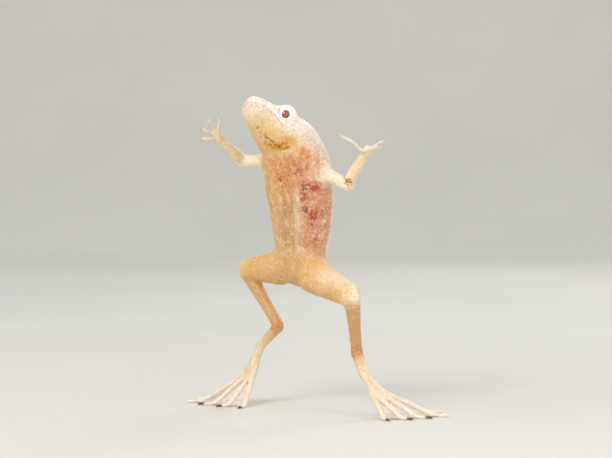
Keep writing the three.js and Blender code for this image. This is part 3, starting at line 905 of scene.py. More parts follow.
def belly_paint(place, left):
    """Yellow on the right side, pink on the left flank, and a pale and two brown bands between."""
    colour = painted_along(place, BELLY_PAINT)
    colour = tinted(colour, "yellow", 0.65 * smooth(left, 0.5, -4.5))
    flank = smooth(left, 1.5, 5.5) * smooth(place, 1.0, 2.2) * smooth(place, 5.6, 4.9)
    colour = tinted(colour, "pink", 0.75 * flank)
    lower_belly = smooth(place, 1.4, 2.2) * smooth(place, 4.6, 3.8)
    colour = tinted(colour, "pale", 0.42 * lower_belly * bump(left, 2.4, 0.8))
    bands = bump(left, -0.7, 0.5) + 0.6 * bump(left, 1.2, 0.3)
    return tinted(colour, "brown", 0.5 * lower_belly * bands)


def trunk_paint(points, near):
    """The back's paint above a wandering line along the sides, and the belly's below it."""
    place, left, up = near["place"], near["left"], near["up"]
    line = np.interp(place, *zip(*BELLY_LINE)) + 0.7 * Rough(SEED + 3).at(points, 2.4)
    under = smooth(up, line + 1.3, line - 1.1)
    back = np.repeat(PAINT["back"][None], len(points), 0)
    back = tinted(back, "pale", smooth(place, 4.0, 6.5))
    return mixed(back, belly_paint(place, left), under)


def head_paint(colour, points, near):
    """White along the upper lip, on the snout and on the lids, and painted shade in the mouth's crease and
    faintly just under it.
    """
    place, lip = near["place"], near["up"] - mouth_height(near["place"])
    upper = smooth(lip, -0.1, 0.15) * smooth(lip, 1.9, 1.2) * smooth(place, 7.8, 8.4)
    front = smooth(place, 8.8, 9.8) * smooth(lip, -0.6, 0.2)
    colour = tinted(colour, "white", np.maximum(upper, front) * 0.85)
    for seat in EYES.values():
        colour = tinted(colour, "white", 0.9 * smooth(distance(points, seat["centre"]), 3.0, 2.3))
    # Painted shade: darker in the mouth's crease, and faintly on the skin just under it.
    crease_shade = smooth(place, 7.4, 7.9) * bump(lip, -0.02, 0.15)
    crease_shade += 0.35 * smooth(place, 7.9, 8.6) * bump(lip, -0.5, 0.3)
    return tinted(colour, "crease_shade", 0.42 * np.minimum(crease_shade, 1))


def skin_paint(points, near):
    """The paint of each point, and how near each point is to a limb's skin rather than the trunk's."""
    trunk = np.exp(-np.maximum(near["off"], 0) / PAINT_FADE) + 1e-6
    total = head_paint(trunk_paint(points, near), points, near) * trunk[:, None]
    whole = trunk.copy()
    for spine, sizes, stops in chains():
        place, off = nearest_on_chain(points, spine, sizes)
        share = np.exp(-np.maximum(off, 0) / PAINT_FADE) * (off < REACH)
        total += painted_along(place, stops) * share[:, None]
        whole += share
    paint = total / whole[:, None]
    for centre, size, name, strength in PATCHES:
        paint = tinted(paint, name, strength * bump(distance(points, centre), 0, size))
    return paint, 1 - trunk / whole


# About how long the trunk is from one entry of BODY to the next, in millimetres
ENTRY_LENGTH = 5.2


def spots(near, places):
    """The strongest of soft round spots on the body: each a place, a side, a size and a strength."""
    strongest = np.zeros(len(near["place"]))
    for place, side, size, strength in places:
        across = (near["left"] - side) / size
        length = (near["place"] - place) * ENTRY_LENGTH / size
        strongest = np.maximum(strongest, strength * np.exp(-(across**2 + length**2)))
    return strongest


# Spots on the belly side of the trunk: place along it, how far left, size and strength
BLOOD = [(4.42, 4.3, 1.3, 0.85), (4.28, 5.9, 1.5, 1.0), (4.1, 6.9, 1.0, 0.6), (3.9, 3.9, 0.8, 0.75),
         (3.55, 4.0, 0.7, 0.7), (3.28, 5.2, 1.3, 1.0), (3.02, 4.9, 0.9, 0.75), (3.4, 6.1, 1.0, 0.6),
         (2.4, 5.3, 1.5, 0.5), (2.1, 3.6, 1.1, 0.4), (5.0, 3.4, 1.9, 0.62), (4.7, 0.6, 1.7, 0.55),
         (4.9, -1.6, 1.3, 0.4), (1.3, 3.4, 1.2, 0.35), (2.8, 6.6, 1.4, 0.45), (5.3, 1.8, 2.2, 0.45)]
VEIN = [(4.25, 4.0, 0.7, 0.9), (4.0, 3.8, 0.6, 0.9), (3.75, 3.75, 0.6, 0.8), (3.5, 3.9, 0.55, 0.8),
        (4.62, -0.9, 0.9, 0.4), (4.3, -1.1, 0.8, 0.35)]
SPECKS = [(8.47, 0.72, 0.55, 0.9), (8.15, 0.9, 0.6, 0.8), (7.8, 0.3, 0.6, 0.55), (7.45, 0.0, 0.6, 0.6),
          (7.14, 0.76, 0.75, 1.0), (7.2, -0.3, 0.6, 0.7), (6.99, 2.08, 0.9, 1.0), (6.85, 2.7, 0.9, 1.0),
          (6.79, 2.22, 0.8, 1.0), (6.59, 2.5, 0.7, 0.85), (6.54, 3.4, 0.55, 0.95), (7.3, 1.8, 1.0, 0.6),
          (8.6, 1.6, 1.4, 0.3), (7.9, 1.6, 1.8, 0.4), (5.9, 5.3, 0.7, 0.4), (5.6, 6.0, 0.5, 0.45),
          (7.5, 1.0, 2.0, 0.45), (7.0, 1.2, 1.9, 0.5), (6.8, 3.0, 1.6, 0.5), (6.5, 2.8, 1.5, 0.4)]

# Specks elsewhere: where each is, its size and its strength
JOINT_SPECKS = [
    ((8.2, -13.0, 45.6), 0.95, 0.95),
    ((9.6, -14.9, 22.9), 0.9, 0.9),
    ((9.0, -14.9, 24.4), 0.7, 0.7),
    ((4.0, -11.6, 23.0), 1.6, 0.5),
    ((11.5, -14.2, 49.8), 0.5, 0.35),
]

# How strong the pale granules are on each part. Their paleness is partly painted highlight
GRANULES_ON = {"belly": 0.32, "sides": 0.68, "back_loses": 0.5, "limbs": 0.45, "lids_lose": 0.8}


def granule_strength(points, up, limb_share):
    strength = GRANULES_ON["belly"] + GRANULES_ON["sides"] * smooth(up, -3.2, -0.6)
    strength *= 1 - GRANULES_ON["back_loses"] * smooth(up, 1.0, 3.5)
    strength += (GRANULES_ON["limbs"] - strength) * limb_share
    for seat in EYES.values():
        lid = smooth(distance(points, seat["centre"]), 2.9, 2.3)
        strength *= 1 - GRANULES_ON["lids_lose"] * lid
    return strength


def skin_marks(points, near, limb_share):
    """The strengths of blood, specks and granules as three columns, and of the vein."""
    under = smooth(near["up"], 0.6, -1.0) * (1 - limb_share)
    specks = spots(near, SPECKS) * under
    for centre, size, strength in JOINT_SPECKS:
        specks = np.maximum(specks, strength * bump(distance(points, centre), 0, size))
    granules = granule_strength(points, near["up"], limb_share)
    return np.stack([spots(near, BLOOD) * under, specks, granules], 1), spots(near, VEIN) * under


# Only fingers and toes are thinner than this all along, in millimetres from middle to skin
THIN_LIMB = 0.8


def thinness(points):
    """1 on fingers and toes, and 0 on the trunk."""
    thin = np.zeros(len(points))
    for spine, sizes, _ in chains():
        if max(sizes) < THIN_LIMB:
            _, off = nearest_on_chain(points, spine, sizes)
            thin = np.maximum(thin, smooth(off, 0.5, 0.1))
    return thin


# Materials. The scale of a noise or a pattern is in cells to the metre.

class Graph:
    """Short calls that add nodes to a tree and join them up."""

    def __init__(self, tree):
        self.tree = tree

    def put(self, socket, value):
        if isinstance(value, bpy.types.NodeSocket):
            self.tree.links.new(value, socket)
        else:
            socket.default_value = value

    def node(self, kind, inputs=None, **settings):
        made = self.tree.nodes.new(kind)
        for name, value in settings.items():
            setattr(made, name, value)
        for name, value in (inputs or {}).items():
            self.put(made.inputs[name], value)
        return made

    def math(self, operation, a, b=0.0):
        return self.node("ShaderNodeMath", {0: a, 1: b}, operation=operation).outputs[0]

    def times(self, a, b):
        return self.math("MULTIPLY", a, b)

    def vector(self, operation, a, b):
        return self.node("ShaderNodeVectorMath", {0: a, 1: b}, operation=operation).outputs[0]

    def turn(self, value, low, high, to_low=0.0, to_high=1.0):
        """A smooth change from one number to another as a value goes from low to high."""
        ends = {"From Min": low, "From Max": high, "To Min": to_low, "To Max": to_high}
        made = self.node("ShaderNodeMapRange", {"Value": value, **ends}, interpolation_type="SMOOTHSTEP")
        return made.outputs["Result"]

    def mix(self, share, a, b, blend="MIX"):
        made = self.node("ShaderNodeMix", data_type="RGBA", blend_type=blend)
        for place, value in ((0, share), (6, a), (7, b)):
            self.put(made.inputs[place], value)
        return made.outputs[2]

    def noise(self, at, scale, detail=3.0, roughness=0.55):
        inputs = {"Vector": at, "Scale": scale, "Detail": detail, "Roughness": roughness}
        return self.node("ShaderNodeTexNoise", inputs).outputs["Fac"]

    def pushed(self, at, scale, detail, reach):
        """A place pushed about by noise, so that what is drawn there has a ragged outline."""
        push = self.node("ShaderNodeTexNoise", {"Vector": at, "Scale": scale, "Detail": detail})
        return self.vector("ADD", at, self.vector("MULTIPLY", push.outputs["Color"], (reach,) * 3))

    def cells(self, at, scale, feature="F1"):
        made = self.node("ShaderNodeTexVoronoi", {"Vector": at, "Scale": scale}, feature=feature)
        return made.outputs["Distance"]

    def attribute(self, name, output):
        return self.node("ShaderNodeAttribute", attribute_name=name).outputs[output]

    def object_place(self):
        return self.node("ShaderNodeTexCoord").outputs["Object"]

    def parts(self, colour):
        made = self.node("ShaderNodeSeparateColor", {"Color": colour})
        return made.outputs[0], made.outputs[1], made.outputs[2]

    def group(self, tree, inputs):
        made = self.node("ShaderNodeGroup", node_tree=tree)
        for name, value in inputs.items():
            self.put(made.inputs[name], value)
        return made.outputs


def rgba(hex_colour):
    return (*linear(hex_colour), 1.0)


def node_group(name, inputs, outputs, fill):
    """A shader group with named sockets, whose nodes the fill function adds."""
    tree = bpy.data.node_groups.new(name, "ShaderNodeTree")
    for label, kind in inputs:
        tree.interface.new_socket(label, in_out="INPUT", socket_type=kind)
    for label, kind in outputs:
        tree.interface.new_socket(label, in_out="OUTPUT", socket_type=kind)
    graph = Graph(tree)
    source = graph.node("NodeGroupInput")
    sink = graph.node("NodeGroupOutput")
    for label, value in fill(graph, source.outputs).items():
        graph.put(sink.inputs[label], value)
    return tree


VALUE = "NodeSocketFloat"
VECTOR = "NodeSocketVector"

MASK = [("Mask", VALUE)]


def fill_blotches(graph, given):
    """Ragged patches that cover the share of the skin that a strength says."""
    at = graph.pushed(given["At"], 900.0, 2.0, 0.0006)
    field = graph.turn(graph.noise(at, given["Scale"], 4.0, 0.62), 0.3, 0.7)
    edge = graph.math("SUBTRACT", 1.0, given["Strength"])
    ragged = graph.turn(field, graph.math("SUBTRACT", edge, 0.06), graph.math("ADD", edge, 0.14))
    held = graph.turn(given["Strength"], 0.02, 0.15)
    return {"Mask": graph.times(ragged, held)}


def fill_speckles(graph, given):
    """Small spots of uneven size that grow and join up with a strength."""
    dots = graph.cells(graph.pushed(given["At"], 2200.0, 2.0, 0.0004), given["Scale"])
    part = graph.math("DIVIDE", dots, graph.math("MAXIMUM", given["Strength"], 0.03))
    return {"Mask": graph.turn(part, 0.92, 0.62)}


def fill_granules(graph, given):
    """Round grains of uneven size, which the skin paints pale, partly as painted highlight."""
    dots = graph.cells(given["At"], given["Scale"])
    size = graph.noise(given["At"], 900.0, 2.0)
    wide = graph.turn(size, 0.3, 0.7, 0.16, 0.42)
    grain = graph.math("SUBTRACT", 1.0, graph.math("DIVIDE", dots, wide))
    return {"Mask": graph.turn(grain, 0.0, 0.75)}


def fill_threads(graph, given):
    """A wandering net of thin lines."""
    at = graph.pushed(given["At"], 500.0, 3.0, 0.0016)
    edge = graph.cells(at, given["Scale"], "DISTANCE_TO_EDGE")
    return {"Mask": graph.turn(edge, given["Width"], 0.0)}


SPREAD = [("At", VECTOR), ("Scale", VALUE)]
BLOTCHES = node_group("blotches", [*SPREAD, ("Strength", VALUE)], MASK, fill_blotches)
SPECKLES = node_group("speckles", [*SPREAD, ("Strength", VALUE)], MASK, fill_speckles)
GRANULES = node_group("granules", SPREAD, MASK, fill_granules)
THREADS = node_group("threads", [*SPREAD, ("Width", VALUE)], MASK, fill_threads)


def new_material(name, **levels):
    """A material with its graph and shader. The levels go on the shader's own sockets."""
    material = bpy.data.materials.new(name)
    material.use_nodes = True
    shader = material.node_tree.nodes["Principled BSDF"]
    for label, value in levels.items():
        shader.inputs[label.replace("_", " ")].default_value = value
    return material, Graph(material.node_tree), shader


def add_bump(graph, shader, height, strength, depth):
    """Relief in the shading, of a depth in metres."""
    made = graph.node("ShaderNodeBump", {"Height": height, "Strength": strength, "Distance": depth})
    graph.put(shader.inputs["Normal"], made.outputs["Normal"])


TINTS = {
    "dark_streak": "#ab7a40", "pale_streak": "#efdcb8", "cream": "#f3dfc4",
    "flush": "#cd6d50", "blood": "#b3261a", "vein": "#7c2a30", "thread": "#a5472f",
    "pit": "#d9975f", "grain": "#fffaf0", "granule_and_highlight": "#fffdf6", "pore": "#c4803f",
    "ochre_wash": "#dba540", "ochre": "#cc8a0e", "brown_speck": "#a5640a", "dark_speck": "#6e4404",
}


class SkinCoats:
    """Coats of colour laid over the skin's paint, one on another."""

    def __init__(self, graph):
        self.graph = graph
        self.at = graph.object_place()
        self.colour = graph.attribute("paint", "Color")
        self.blood, self.speck, self.granular = graph.parts(graph.attribute("marks", "Color"))
        self.vein, self.under, self.thin = graph.parts(graph.attribute("parts", "Color"))
        self.granules = graph.group(GRANULES, {"At": self.at, "Scale": 2500.0})["Mask"]

    def coat(self, tint, mask, strength):
        part = self.graph.times(mask, strength)
        self.colour = self.graph.mix(part, self.colour, rgba(TINTS[tint]))

    def spread(self, group, scale, strength):
        return self.graph.group(group, {"At": self.at, "Scale": scale, "Strength": strength})["Mask"]

    def mottle(self):
        """Clouds in which the paint is deeper."""
        graph = self.graph
        cloud = graph.turn(graph.noise(self.at, 650.0, 4.0, 0.6), 0.42, 0.72, 0.0, 0.6)
        deeper = graph.mix(1.0, self.colour, (0.86, 0.72, 0.56, 1.0), "MULTIPLY")
        self.colour = graph.mix(cloud, self.colour, deeper)

    def streak_belly(self):
        """Dark and pale streaks drawn out along the belly, and patches of cream."""
        graph = self.graph
        streak = graph.noise(graph.vector("MULTIPLY", self.at, (1.0, 1.0, 0.22)), 1000.0, 4.0, 0.6)
        cream = graph.turn(graph.noise(self.at, 800.0, 5.0, 0.68), 0.52, 0.64)
        self.coat("dark_streak", graph.times(graph.turn(streak, 0.5, 0.64), self.under), 0.5)
        self.coat("pale_streak", graph.times(graph.turn(streak, 0.44, 0.32), self.under), 0.5)
        self.coat("cream", graph.times(cream, self.under), 0.45)

    def redden(self):
        """A flush, the blood within it, a dark vein, and a net of threads that shows near blood."""
        graph = self.graph
        core = graph.turn(self.blood, 0.25, 1.0)
        self.coat("flush", self.spread(BLOTCHES, 700.0, graph.times(self.blood, 0.9)), 0.6)
        self.coat("blood", self.spread(BLOTCHES, 1500.0, graph.times(core, 0.85)), 0.9)
        self.coat("vein", self.spread(BLOTCHES, 1000.0, self.vein), 0.8)
        net = graph.group(THREADS, {"At": self.at, "Scale": 420.0, "Width": 0.07})["Mask"]
        near_blood = graph.turn(self.blood, 0.0, 0.6, 0.15, 0.7)
        self.coat("thread", graph.times(graph.times(net, self.under), near_blood), 0.8)

    def grain(self):
        """Fine pits and grains, round pale granules that are partly painted highlight, and pores."""
        graph = self.graph
        fine = graph.noise(self.at, 2700.0, 2.0, 0.7)
        self.coat("pit", graph.times(graph.turn(fine, 0.5, 0.36), self.granular), 0.55)
        self.coat("grain", graph.times(graph.turn(fine, 0.53, 0.66), self.granular), 0.7)
        # Near-white on the granules: partly their own pale colour, partly painted highlight.
        self.coat("granule_and_highlight", graph.times(self.granules, self.granular), 0.5)
        self.coat("pore", graph.turn(graph.noise(self.at, 4200.0, 2.0), 0.6, 0.72), 0.3)

    def speckle(self):
        """A wash of ochre, patches of it, and brown and dark specks in them."""
        graph, speck = self.graph, self.speck
        self.coat("ochre_wash", graph.turn(speck, 0.1, 1.0), 0.45)
        self.coat("ochre", self.spread(BLOTCHES, 1500.0, graph.times(speck, 0.95)), 0.92)
        self.coat("brown_speck", self.spread(SPECKLES, 1500.0, graph.times(speck, 0.85)), 0.7)
        self.coat("dark_speck", self.spread(SPECKLES, 2000.0, graph.times(speck, 0.45)), 0.8)

    def height(self):
        """Granules, grain and wrinkles, for the relief in the shading."""
        graph = self.graph
        fine = graph.times(graph.noise(self.at, 5200.0, 3.0), 0.6)
        wrinkle = graph.noise(graph.vector("MULTIPLY", self.at, (1.0, 1.0, 0.5)), 1500.0, 4.0, 0.6)
        grained = graph.math("ADD", graph.times(self.granules, 0.55), fine)
        return graph.math("ADD", grained, wrinkle)


def skin_material():
    material, graph, shader = new_material(
        "skin", Subsurface_Weight=0.22, Subsurface_Radius=(1.0, 0.45, 0.28), Subsurface_Scale=0.0006,
        Coat_Weight=0.12, Coat_Roughness=0.28, Specular_IOR_Level=0.4)
    coats = SkinCoats(graph)
    coats.mottle()
    coats.streak_belly()
    coats.redden()
    coats.grain()
    coats.speckle()
    graph.put(shader.inputs["Base Color"], coats.colour)
    rough = graph.turn(graph.noise(coats.at, 1800.0, 3.0), 0.3, 0.7, 0.4, 0.58)
    graph.put(shader.inputs["Roughness"], rough)
    add_bump(graph, shader, coats.height(), graph.turn(coats.thin, 0.2, 0.9, 0.6, 0.25), 0.00014)
    return material


def web_material():
    """Clear skin with faint threads, more covering along its free edge."""
    material, graph, shader = new_material("web", Roughness=0.32, Specular_IOR_Level=0.5, Coat_Weight=0.2)
    at = graph.object_place()
    net = graph.group(THREADS, {"At": at, "Scale": 620.0, "Width": 0.05})["Mask"]
    cloud = graph.noise(at, 700.0, 3.0)
    colour = graph.mix(graph.turn(cloud, 0.4, 0.65), rgba("#f0e4cf"), rgba("#f7eee2"))
    colour = graph.mix(graph.times(net, 0.45), colour, rgba("#d99a7c"))
    graph.put(shader.inputs["Base Color"], colour)
    cover = graph.math("ADD", graph.turn(cloud, 0.35, 0.7, 0.2, 0.34), graph.times(net, 0.2))
    cover = graph.math("ADD", cover, graph.times(graph.attribute("edge", "Fac"), 0.3))
    graph.put(shader.inputs["Alpha"], cover)
    add_bump(graph, shader, cloud, 0.3, 0.0001)
    return material


# The eye's materials read eye_at: a place on the ball with the gaze along Z and a radius of 1.
PUPIL_SHARE = PUPIL_RADIUS / EYE_RADIUS


def iris_colour(graph, place, out, rays):
    """A white ring with faint rays, a few flecks in its outer part and a tan rim."""
    iris = graph.mix(graph.turn(rays, 0.42, 0.68), rgba("#fffdf8"), rgba("#ece3d4"))
    flecks = graph.turn(graph.noise(place, 14.0, 2.0), 0.64, 0.7)
    flecks = graph.times(flecks, graph.turn(out, 0.55, 0.85))
    iris = graph.mix(graph.times(flecks, 0.5), iris, rgba("#b9a48c"))
    return graph.mix(graph.turn(out, 0.86, 0.99, 0.0, 0.55), iris, rgba("#dcc3a4"))


def pupil_colour(graph, place, out):
    """Red-brown with a darker edge."""
    grain = graph.noise(place, 16.0, 4.0, 0.7)
    pupil = graph.mix(graph.turn(grain, 0.35, 0.65), rgba("#93503a"), rgba("#a9684c"))
    edge = graph.turn(out, PUPIL_SHARE * 0.5, PUPIL_SHARE * 0.97)
    return graph.mix(edge, pupil, rgba("#4d2a20"))


def eye_material():
    material, graph, shader = new_material(
        "eye", Coat_Weight=0.9, Coat_Roughness=0.06, Specular_IOR_Level=0.35, Subsurface_Weight=0.1,
        Subsurface_Radius=(1.0, 0.8, 0.6), Subsurface_Scale=0.0003)
    place = graph.attribute("eye_at", "Vector")
    flat = graph.vector("MULTIPLY", place, (1.0, 1.0, 0.0))
    out = graph.node("ShaderNodeVectorMath", {0: flat}, operation="LENGTH").outputs["Value"]
    spoke = graph.node("ShaderNodeVectorMath", {0: flat}, operation="NORMALIZE").outputs[0]
    ray_at = graph.vector("ADD", graph.vector("MULTIPLY", spoke, (9.0, 9.0, 9.0)), place)
    rays = graph.noise(ray_at, 1.6, 4.0, 0.7)
    uneven = graph.math("ADD", graph.times(rays, 0.02), PUPIL_SHARE - 0.01)
    in_pupil = graph.turn(graph.math("SUBTRACT", out, uneven), 0.012, -0.012)
    colour = graph.mix(in_pupil, iris_colour(graph, place, out, rays), pupil_colour(graph, place, out))
    graph.put(shader.inputs["Base Color"], colour)
    graph.put(shader.inputs["Roughness"], graph.turn(in_pupil, 0.0, 1.0, 0.42, 0.2))
    add_bump(graph, shader, rays, 0.15, 0.00005)
    return material


def claw_material():
    material, graph, shader = new_material("claw", Roughness=0.28, Coat_Weight=0.3, Specular_IOR_Level=0.5)
    ridges = graph.noise(graph.object_place(), 5200.0, 3.0)
    paint = graph.attribute("paint", "Color")
    colour = graph.mix(graph.turn(ridges, 0.4, 0.7, 0.0, 0.5), paint, rgba("#20242b"))
    graph.put(shader.inputs["Base Color"], colour)
    add_bump(graph, shader, ridges, 0.25, 0.00004)
    return material


def stitch_material():
    material, graph, shader = new_material(
        "stitch", Roughness=0.4, Subsurface_Weight=0.3, Subsurface_Scale=0.0004)
    cloud = graph.noise(graph.object_place(), 2400.0)
    colour = graph.mix(graph.turn(cloud, 0.4, 0.65), rgba("#fdf3e4"), rgba("#ecd2b0"))
    graph.put(shader.inputs["Base Color"], colour)
    return material


def floor_material():
    material, graph, shader = new_material("floor", Roughness=0.7, Specular_IOR_Level=0.2)
    cloud = graph.noise(graph.object_place(), 6.0, 4.0)
    colour = graph.mix(graph.turn(cloud, 0.3, 0.7), rgba("#dcdad3"), rgba("#e3e1da"))
    graph.put(shader.inputs["Base Color"], colour)
    return material


# Pieces

FLESH = ["head", "lower_jaw", "torso"]
FLESH += [part + "_" + side for side in ("left", "right")
          for part in ("upper_arm", "forearm", "hand", "thigh", "shank", "ankle", "foot")]


def make_skin():
    """The skin of the whole frog, with its paint and marks stored on its points."""
    piece = thinned("skin", *mould_frog())
    points, near = relief_applied(piece)
    paint, limb_share = skin_paint(points, near)
    marks, vein = skin_marks(points, near, limb_share)
    under = smooth(near["up"], 0.8, -1.2) * (1 - limb_share) * smooth(near["place"], 7.2, 6.0)
    write_values(piece.data, "paint", paint)
    write_values(piece.data, "marks", marks)
    write_values(piece.data, "parts", np.stack([vein, under, thinness(points)], 1))
    piece.data.materials.clear()
    piece.data.materials.append(skin_material())
    place_piece(piece, FLESH)
    return piece


def pupil_sunk(out, tilt):
    """How far the front of the eyeball is sunk at the pupil, in millimetres."""
    front = tilt < 1
    return 0.05 * smooth(out, PUPIL_SHARE + 0.02, PUPIL_SHARE - 0.02) * front


def make_eye(side, material, rings=72, sides=96):
    """An eyeball round its line of sight, with the pupil a little sunk."""
    gaze = EYES[side]["gaze"]
    across = unit(np.cross(gaze, UPRIGHT))
    top = np.cross(across, gaze)
    pole = 0.01
    tilt = np.linspace(pole, math.pi - pole, rings)
    turn = np.linspace(0, 2 * math.pi, sides, endpoint=False)
    out = np.sin(tilt)
    local = np.stack([out[:, None] * np.cos(turn), out[:, None] * np.sin(turn),
                      np.cos(tilt)[:, None] * np.ones(sides)], 2)
    points, faces = close_rings(local * (EYE_RADIUS - pupil_sunk(out, tilt))[:, None, None])
    world = points[:, :1] * across + points[:, 1:2] * top + points[:, 2:3] * gaze
    piece = new_object("eye_ball_" + side, to_metres(world + EYES[side]["centre"]), faces, material)
    layer = piece.data.attributes.new("eye_at", "FLOAT_VECTOR", "POINT")
    layer.data.foreach_set("vector", (points / EYE_RADIUS).astype(np.float32).ravel())
    place_piece(piece, ["eye_" + side])


def claw_stations(start, forward):
    stations = []
    for i, size in enumerate(CLAW["sizes"]):
        share = i / (len(CLAW["sizes"]) - 1)
        at = start + forward * CLAW["length"] * share
        at[2] += CLAW["arch"] * math.sin(share * math.pi) - CLAW["sag"] * share**2
        stations.append(station(at, size, size * CLAW["flat"]))
    return stations


def make_claw(name, leg, toe, material):
    """A claw of horn, grey at its root and dark at its tip."""
    low, tip = (np.asarray(point, float) for point in toe_spine(leg, toe)[-2:])
    forward = tip - low
    forward[2] = 0
    forward = unit(forward)
    start = tip + forward * (TOE["tip"] * CLAW["out"])
    points, faces = limb(claw_stations(start, forward), UPRIGHT, *CLAW["ends"], steps=28, sides=24)
    points[:, 2] = np.maximum(points[:, 2], CLAW["floor"])
    piece = new_object(name + "_horn", to_metres(points), faces, material)
    share = smooth((points - start) @ forward, 0.15, 0.6)
    write_values(piece.data, "paint", mixed(linear("#6f7683")[None], linear("#333944")[None], share))
    place_piece(piece, [name])


# A web: where it starts and ends along its toes, how far its edge is hollowed, half its
# thickness, its sag and folds, and how far it stays above the floor
WEB = {"start": 0.5, "end": 3.78, "hollow": 0.95, "half": 0.055, "sag": 0.12, "fold": 0.05, "floor": 0.03}


def web_sheet(a, b, steps=36, across=16):
    """A thin closed sheet between two toes, with shallow folds that run with the toes."""
    t = np.linspace(0, 1, steps + 1)[:, None]
    s = np.linspace(0, 1, across + 1)[None, :]
    end = WEB["end"] - WEB["hollow"] * 4 * s * (1 - s)
    place = WEB["start"] + (end - WEB["start"]) * t
    first = along(a, place.ravel()).reshape(steps + 1, across + 1, 3)
    second = along(b, place.ravel()).reshape(steps + 1, across + 1, 3)
    sheet = first + (second - first) * s[..., None]
    middle = np.sin(math.pi * s) * np.sin(math.pi * np.clip(t * 1.1, 0, 1))
    sheet[..., 2] -= WEB["sag"] * middle - WEB["fold"] * np.sin(s * 6 * math.pi) * middle
    sheet[..., 2] = np.maximum(sheet[..., 2], WEB["half"] + WEB["floor"])
    lift = np.array([0, 0, WEB["half"]])
    rings = np.concatenate([sheet + lift, (sheet - lift)[:, ::-1]], axis=1)
    edge = np.broadcast_to(smooth(t, 0.9, 1.0), (steps + 1, 2 * across + 2))
    points, faces = close_rings(rings)
    return points, faces, np.append(edge.ravel(), [0.0, 1.0])


def make_webs(side, leg, material):
    """The four webs of one foot, as one piece."""
    spines = [toe_spine(leg, toe) for toe in leg["toes"]]
    points, faces, edges, count = [], [], [], 0
    for a, b in zip(spines, spines[1:]):
        sheet, triangles, edge = web_sheet(a, b)
        points.append(sheet)
        faces.append(triangles + count)
        edges.append(edge)
        count += len(sheet)
    piece = new_object("webs_" + side, to_metres(np.vstack(points)), np.vstack(faces), material)
    write_values(piece.data, "edge", np.concatenate(edges))
    place_piece(piece, ["foot_" + side])


# Rows of sense organs in the skin, like short stitches

STITCH = {"Length": 0.27, "Width": 0.06, "Height": 0.045}

# How much smaller or larger a stitch may be
SMALLEST, LARGEST = 0.7, 1.2

# Rows on both sides of the body: degrees round from the belly, first and last place, and step
ROWS = [(100, 1.0, 6.5, 0.2), (150, 1.2, 6.6, 0.24), (118, 8.9, 9.7, 0.16)]

# The ring of stitches round each eye, and how far in front of the eye the search for it starts
EYE_STITCHES = {"count": 15, "radius": 2.85, "ahead": 4}


def row_stitches(tree):
    """Each stitch's point on the skin, the direction out of it, and the stitch's own direction."""
    for angle, first, last, step in ROWS:
        for sign in SIGNS:
            for t in np.arange(first, last, step):
                centre, forward, left, up = body_frame(t)
                turn = math.radians(angle)
                ray = left * sign * math.sin(turn) - up * math.cos(turn)
                hit, normal, _, _ = tree.ray_cast(Vector(centre), Vector(ray))
                if hit:
                    yield hit, normal, np.cross(forward, ray)


def eye_stitches(tree):
    for seat in EYES.values():
        centre, aim = seat["centre"], seat["aim"]
        side, top = ring_round(aim)
        for turn in np.linspace(0, 2 * math.pi, EYE_STITCHES["count"], endpoint=False):
            spoke = side * math.cos(turn) + top * math.sin(turn)
            start = centre + spoke * EYE_STITCHES["radius"] + aim * EYE_STITCHES["ahead"]
            hit, normal, _, _ = tree.ray_cast(Vector(start), Vector(-aim))
            if hit:
                yield hit, normal, spoke


def stitch_tree(material):
    """Small rounded bars set on points along their stored directions."""
    tree = bpy.data.node_groups.new("stitches", "GeometryNodeTree")
    tree.interface.new_socket("Geometry", in_out="INPUT", socket_type="NodeSocketGeometry")
    tree.interface.new_socket("Geometry", in_out="OUTPUT", socket_type="NodeSocketGeometry")
    for label in STITCH:
        tree.interface.new_socket(label, in_out="INPUT", socket_type=VALUE)
    graph = Graph(tree)
    source = graph.node("NodeGroupInput").outputs

    def direction(name):
        made = graph.node("GeometryNodeInputNamedAttribute", {"Name": name}, data_type="FLOAT_VECTOR")
        return made.outputs[0]

    bar = graph.node("GeometryNodeMeshIcoSphere", {"Radius": 1.0, "Subdivisions": 3})
    upright = graph.node("FunctionNodeAlignRotationToVector", {"Vector": direction("out")}, axis="Z")
    turned = graph.node(
        "FunctionNodeAlignRotationToVector",
        {"Rotation": upright.outputs[0], "Vector": direction("along")}, axis="X", pivot_axis="Z")
    uneven = graph.node("FunctionNodeRandomValue", {"Seed": SEED}, data_type="FLOAT")
    graph.put(uneven.inputs[2], SMALLEST)
    graph.put(uneven.inputs[3], LARGEST)
    lengths = {axis: source[label] for axis, label in zip("XYZ", STITCH)}
    size = graph.node("ShaderNodeCombineXYZ", lengths).outputs[0]
    scaled = graph.node(
        "ShaderNodeVectorMath", {0: size, "Scale": uneven.outputs[1]}, operation="SCALE")
    placed = graph.node("GeometryNodeInstanceOnPoints", {
        "Points": source["Geometry"], "Instance": bar.outputs["Mesh"],
        "Rotation": turned.outputs[0], "Scale": scaled.outputs[0]})
    real = graph.node("GeometryNodeRealizeInstances", {"Geometry": placed.outputs[0]})
    dressed = graph.node("GeometryNodeSetMaterial", {"Geometry": real.outputs[0], "Material": material})
    even = graph.node("GeometryNodeSetShadeSmooth", {"Geometry": dressed.outputs[0]})
    graph.put(graph.node("NodeGroupOutput").inputs["Geometry"], even.outputs[0])
    return tree


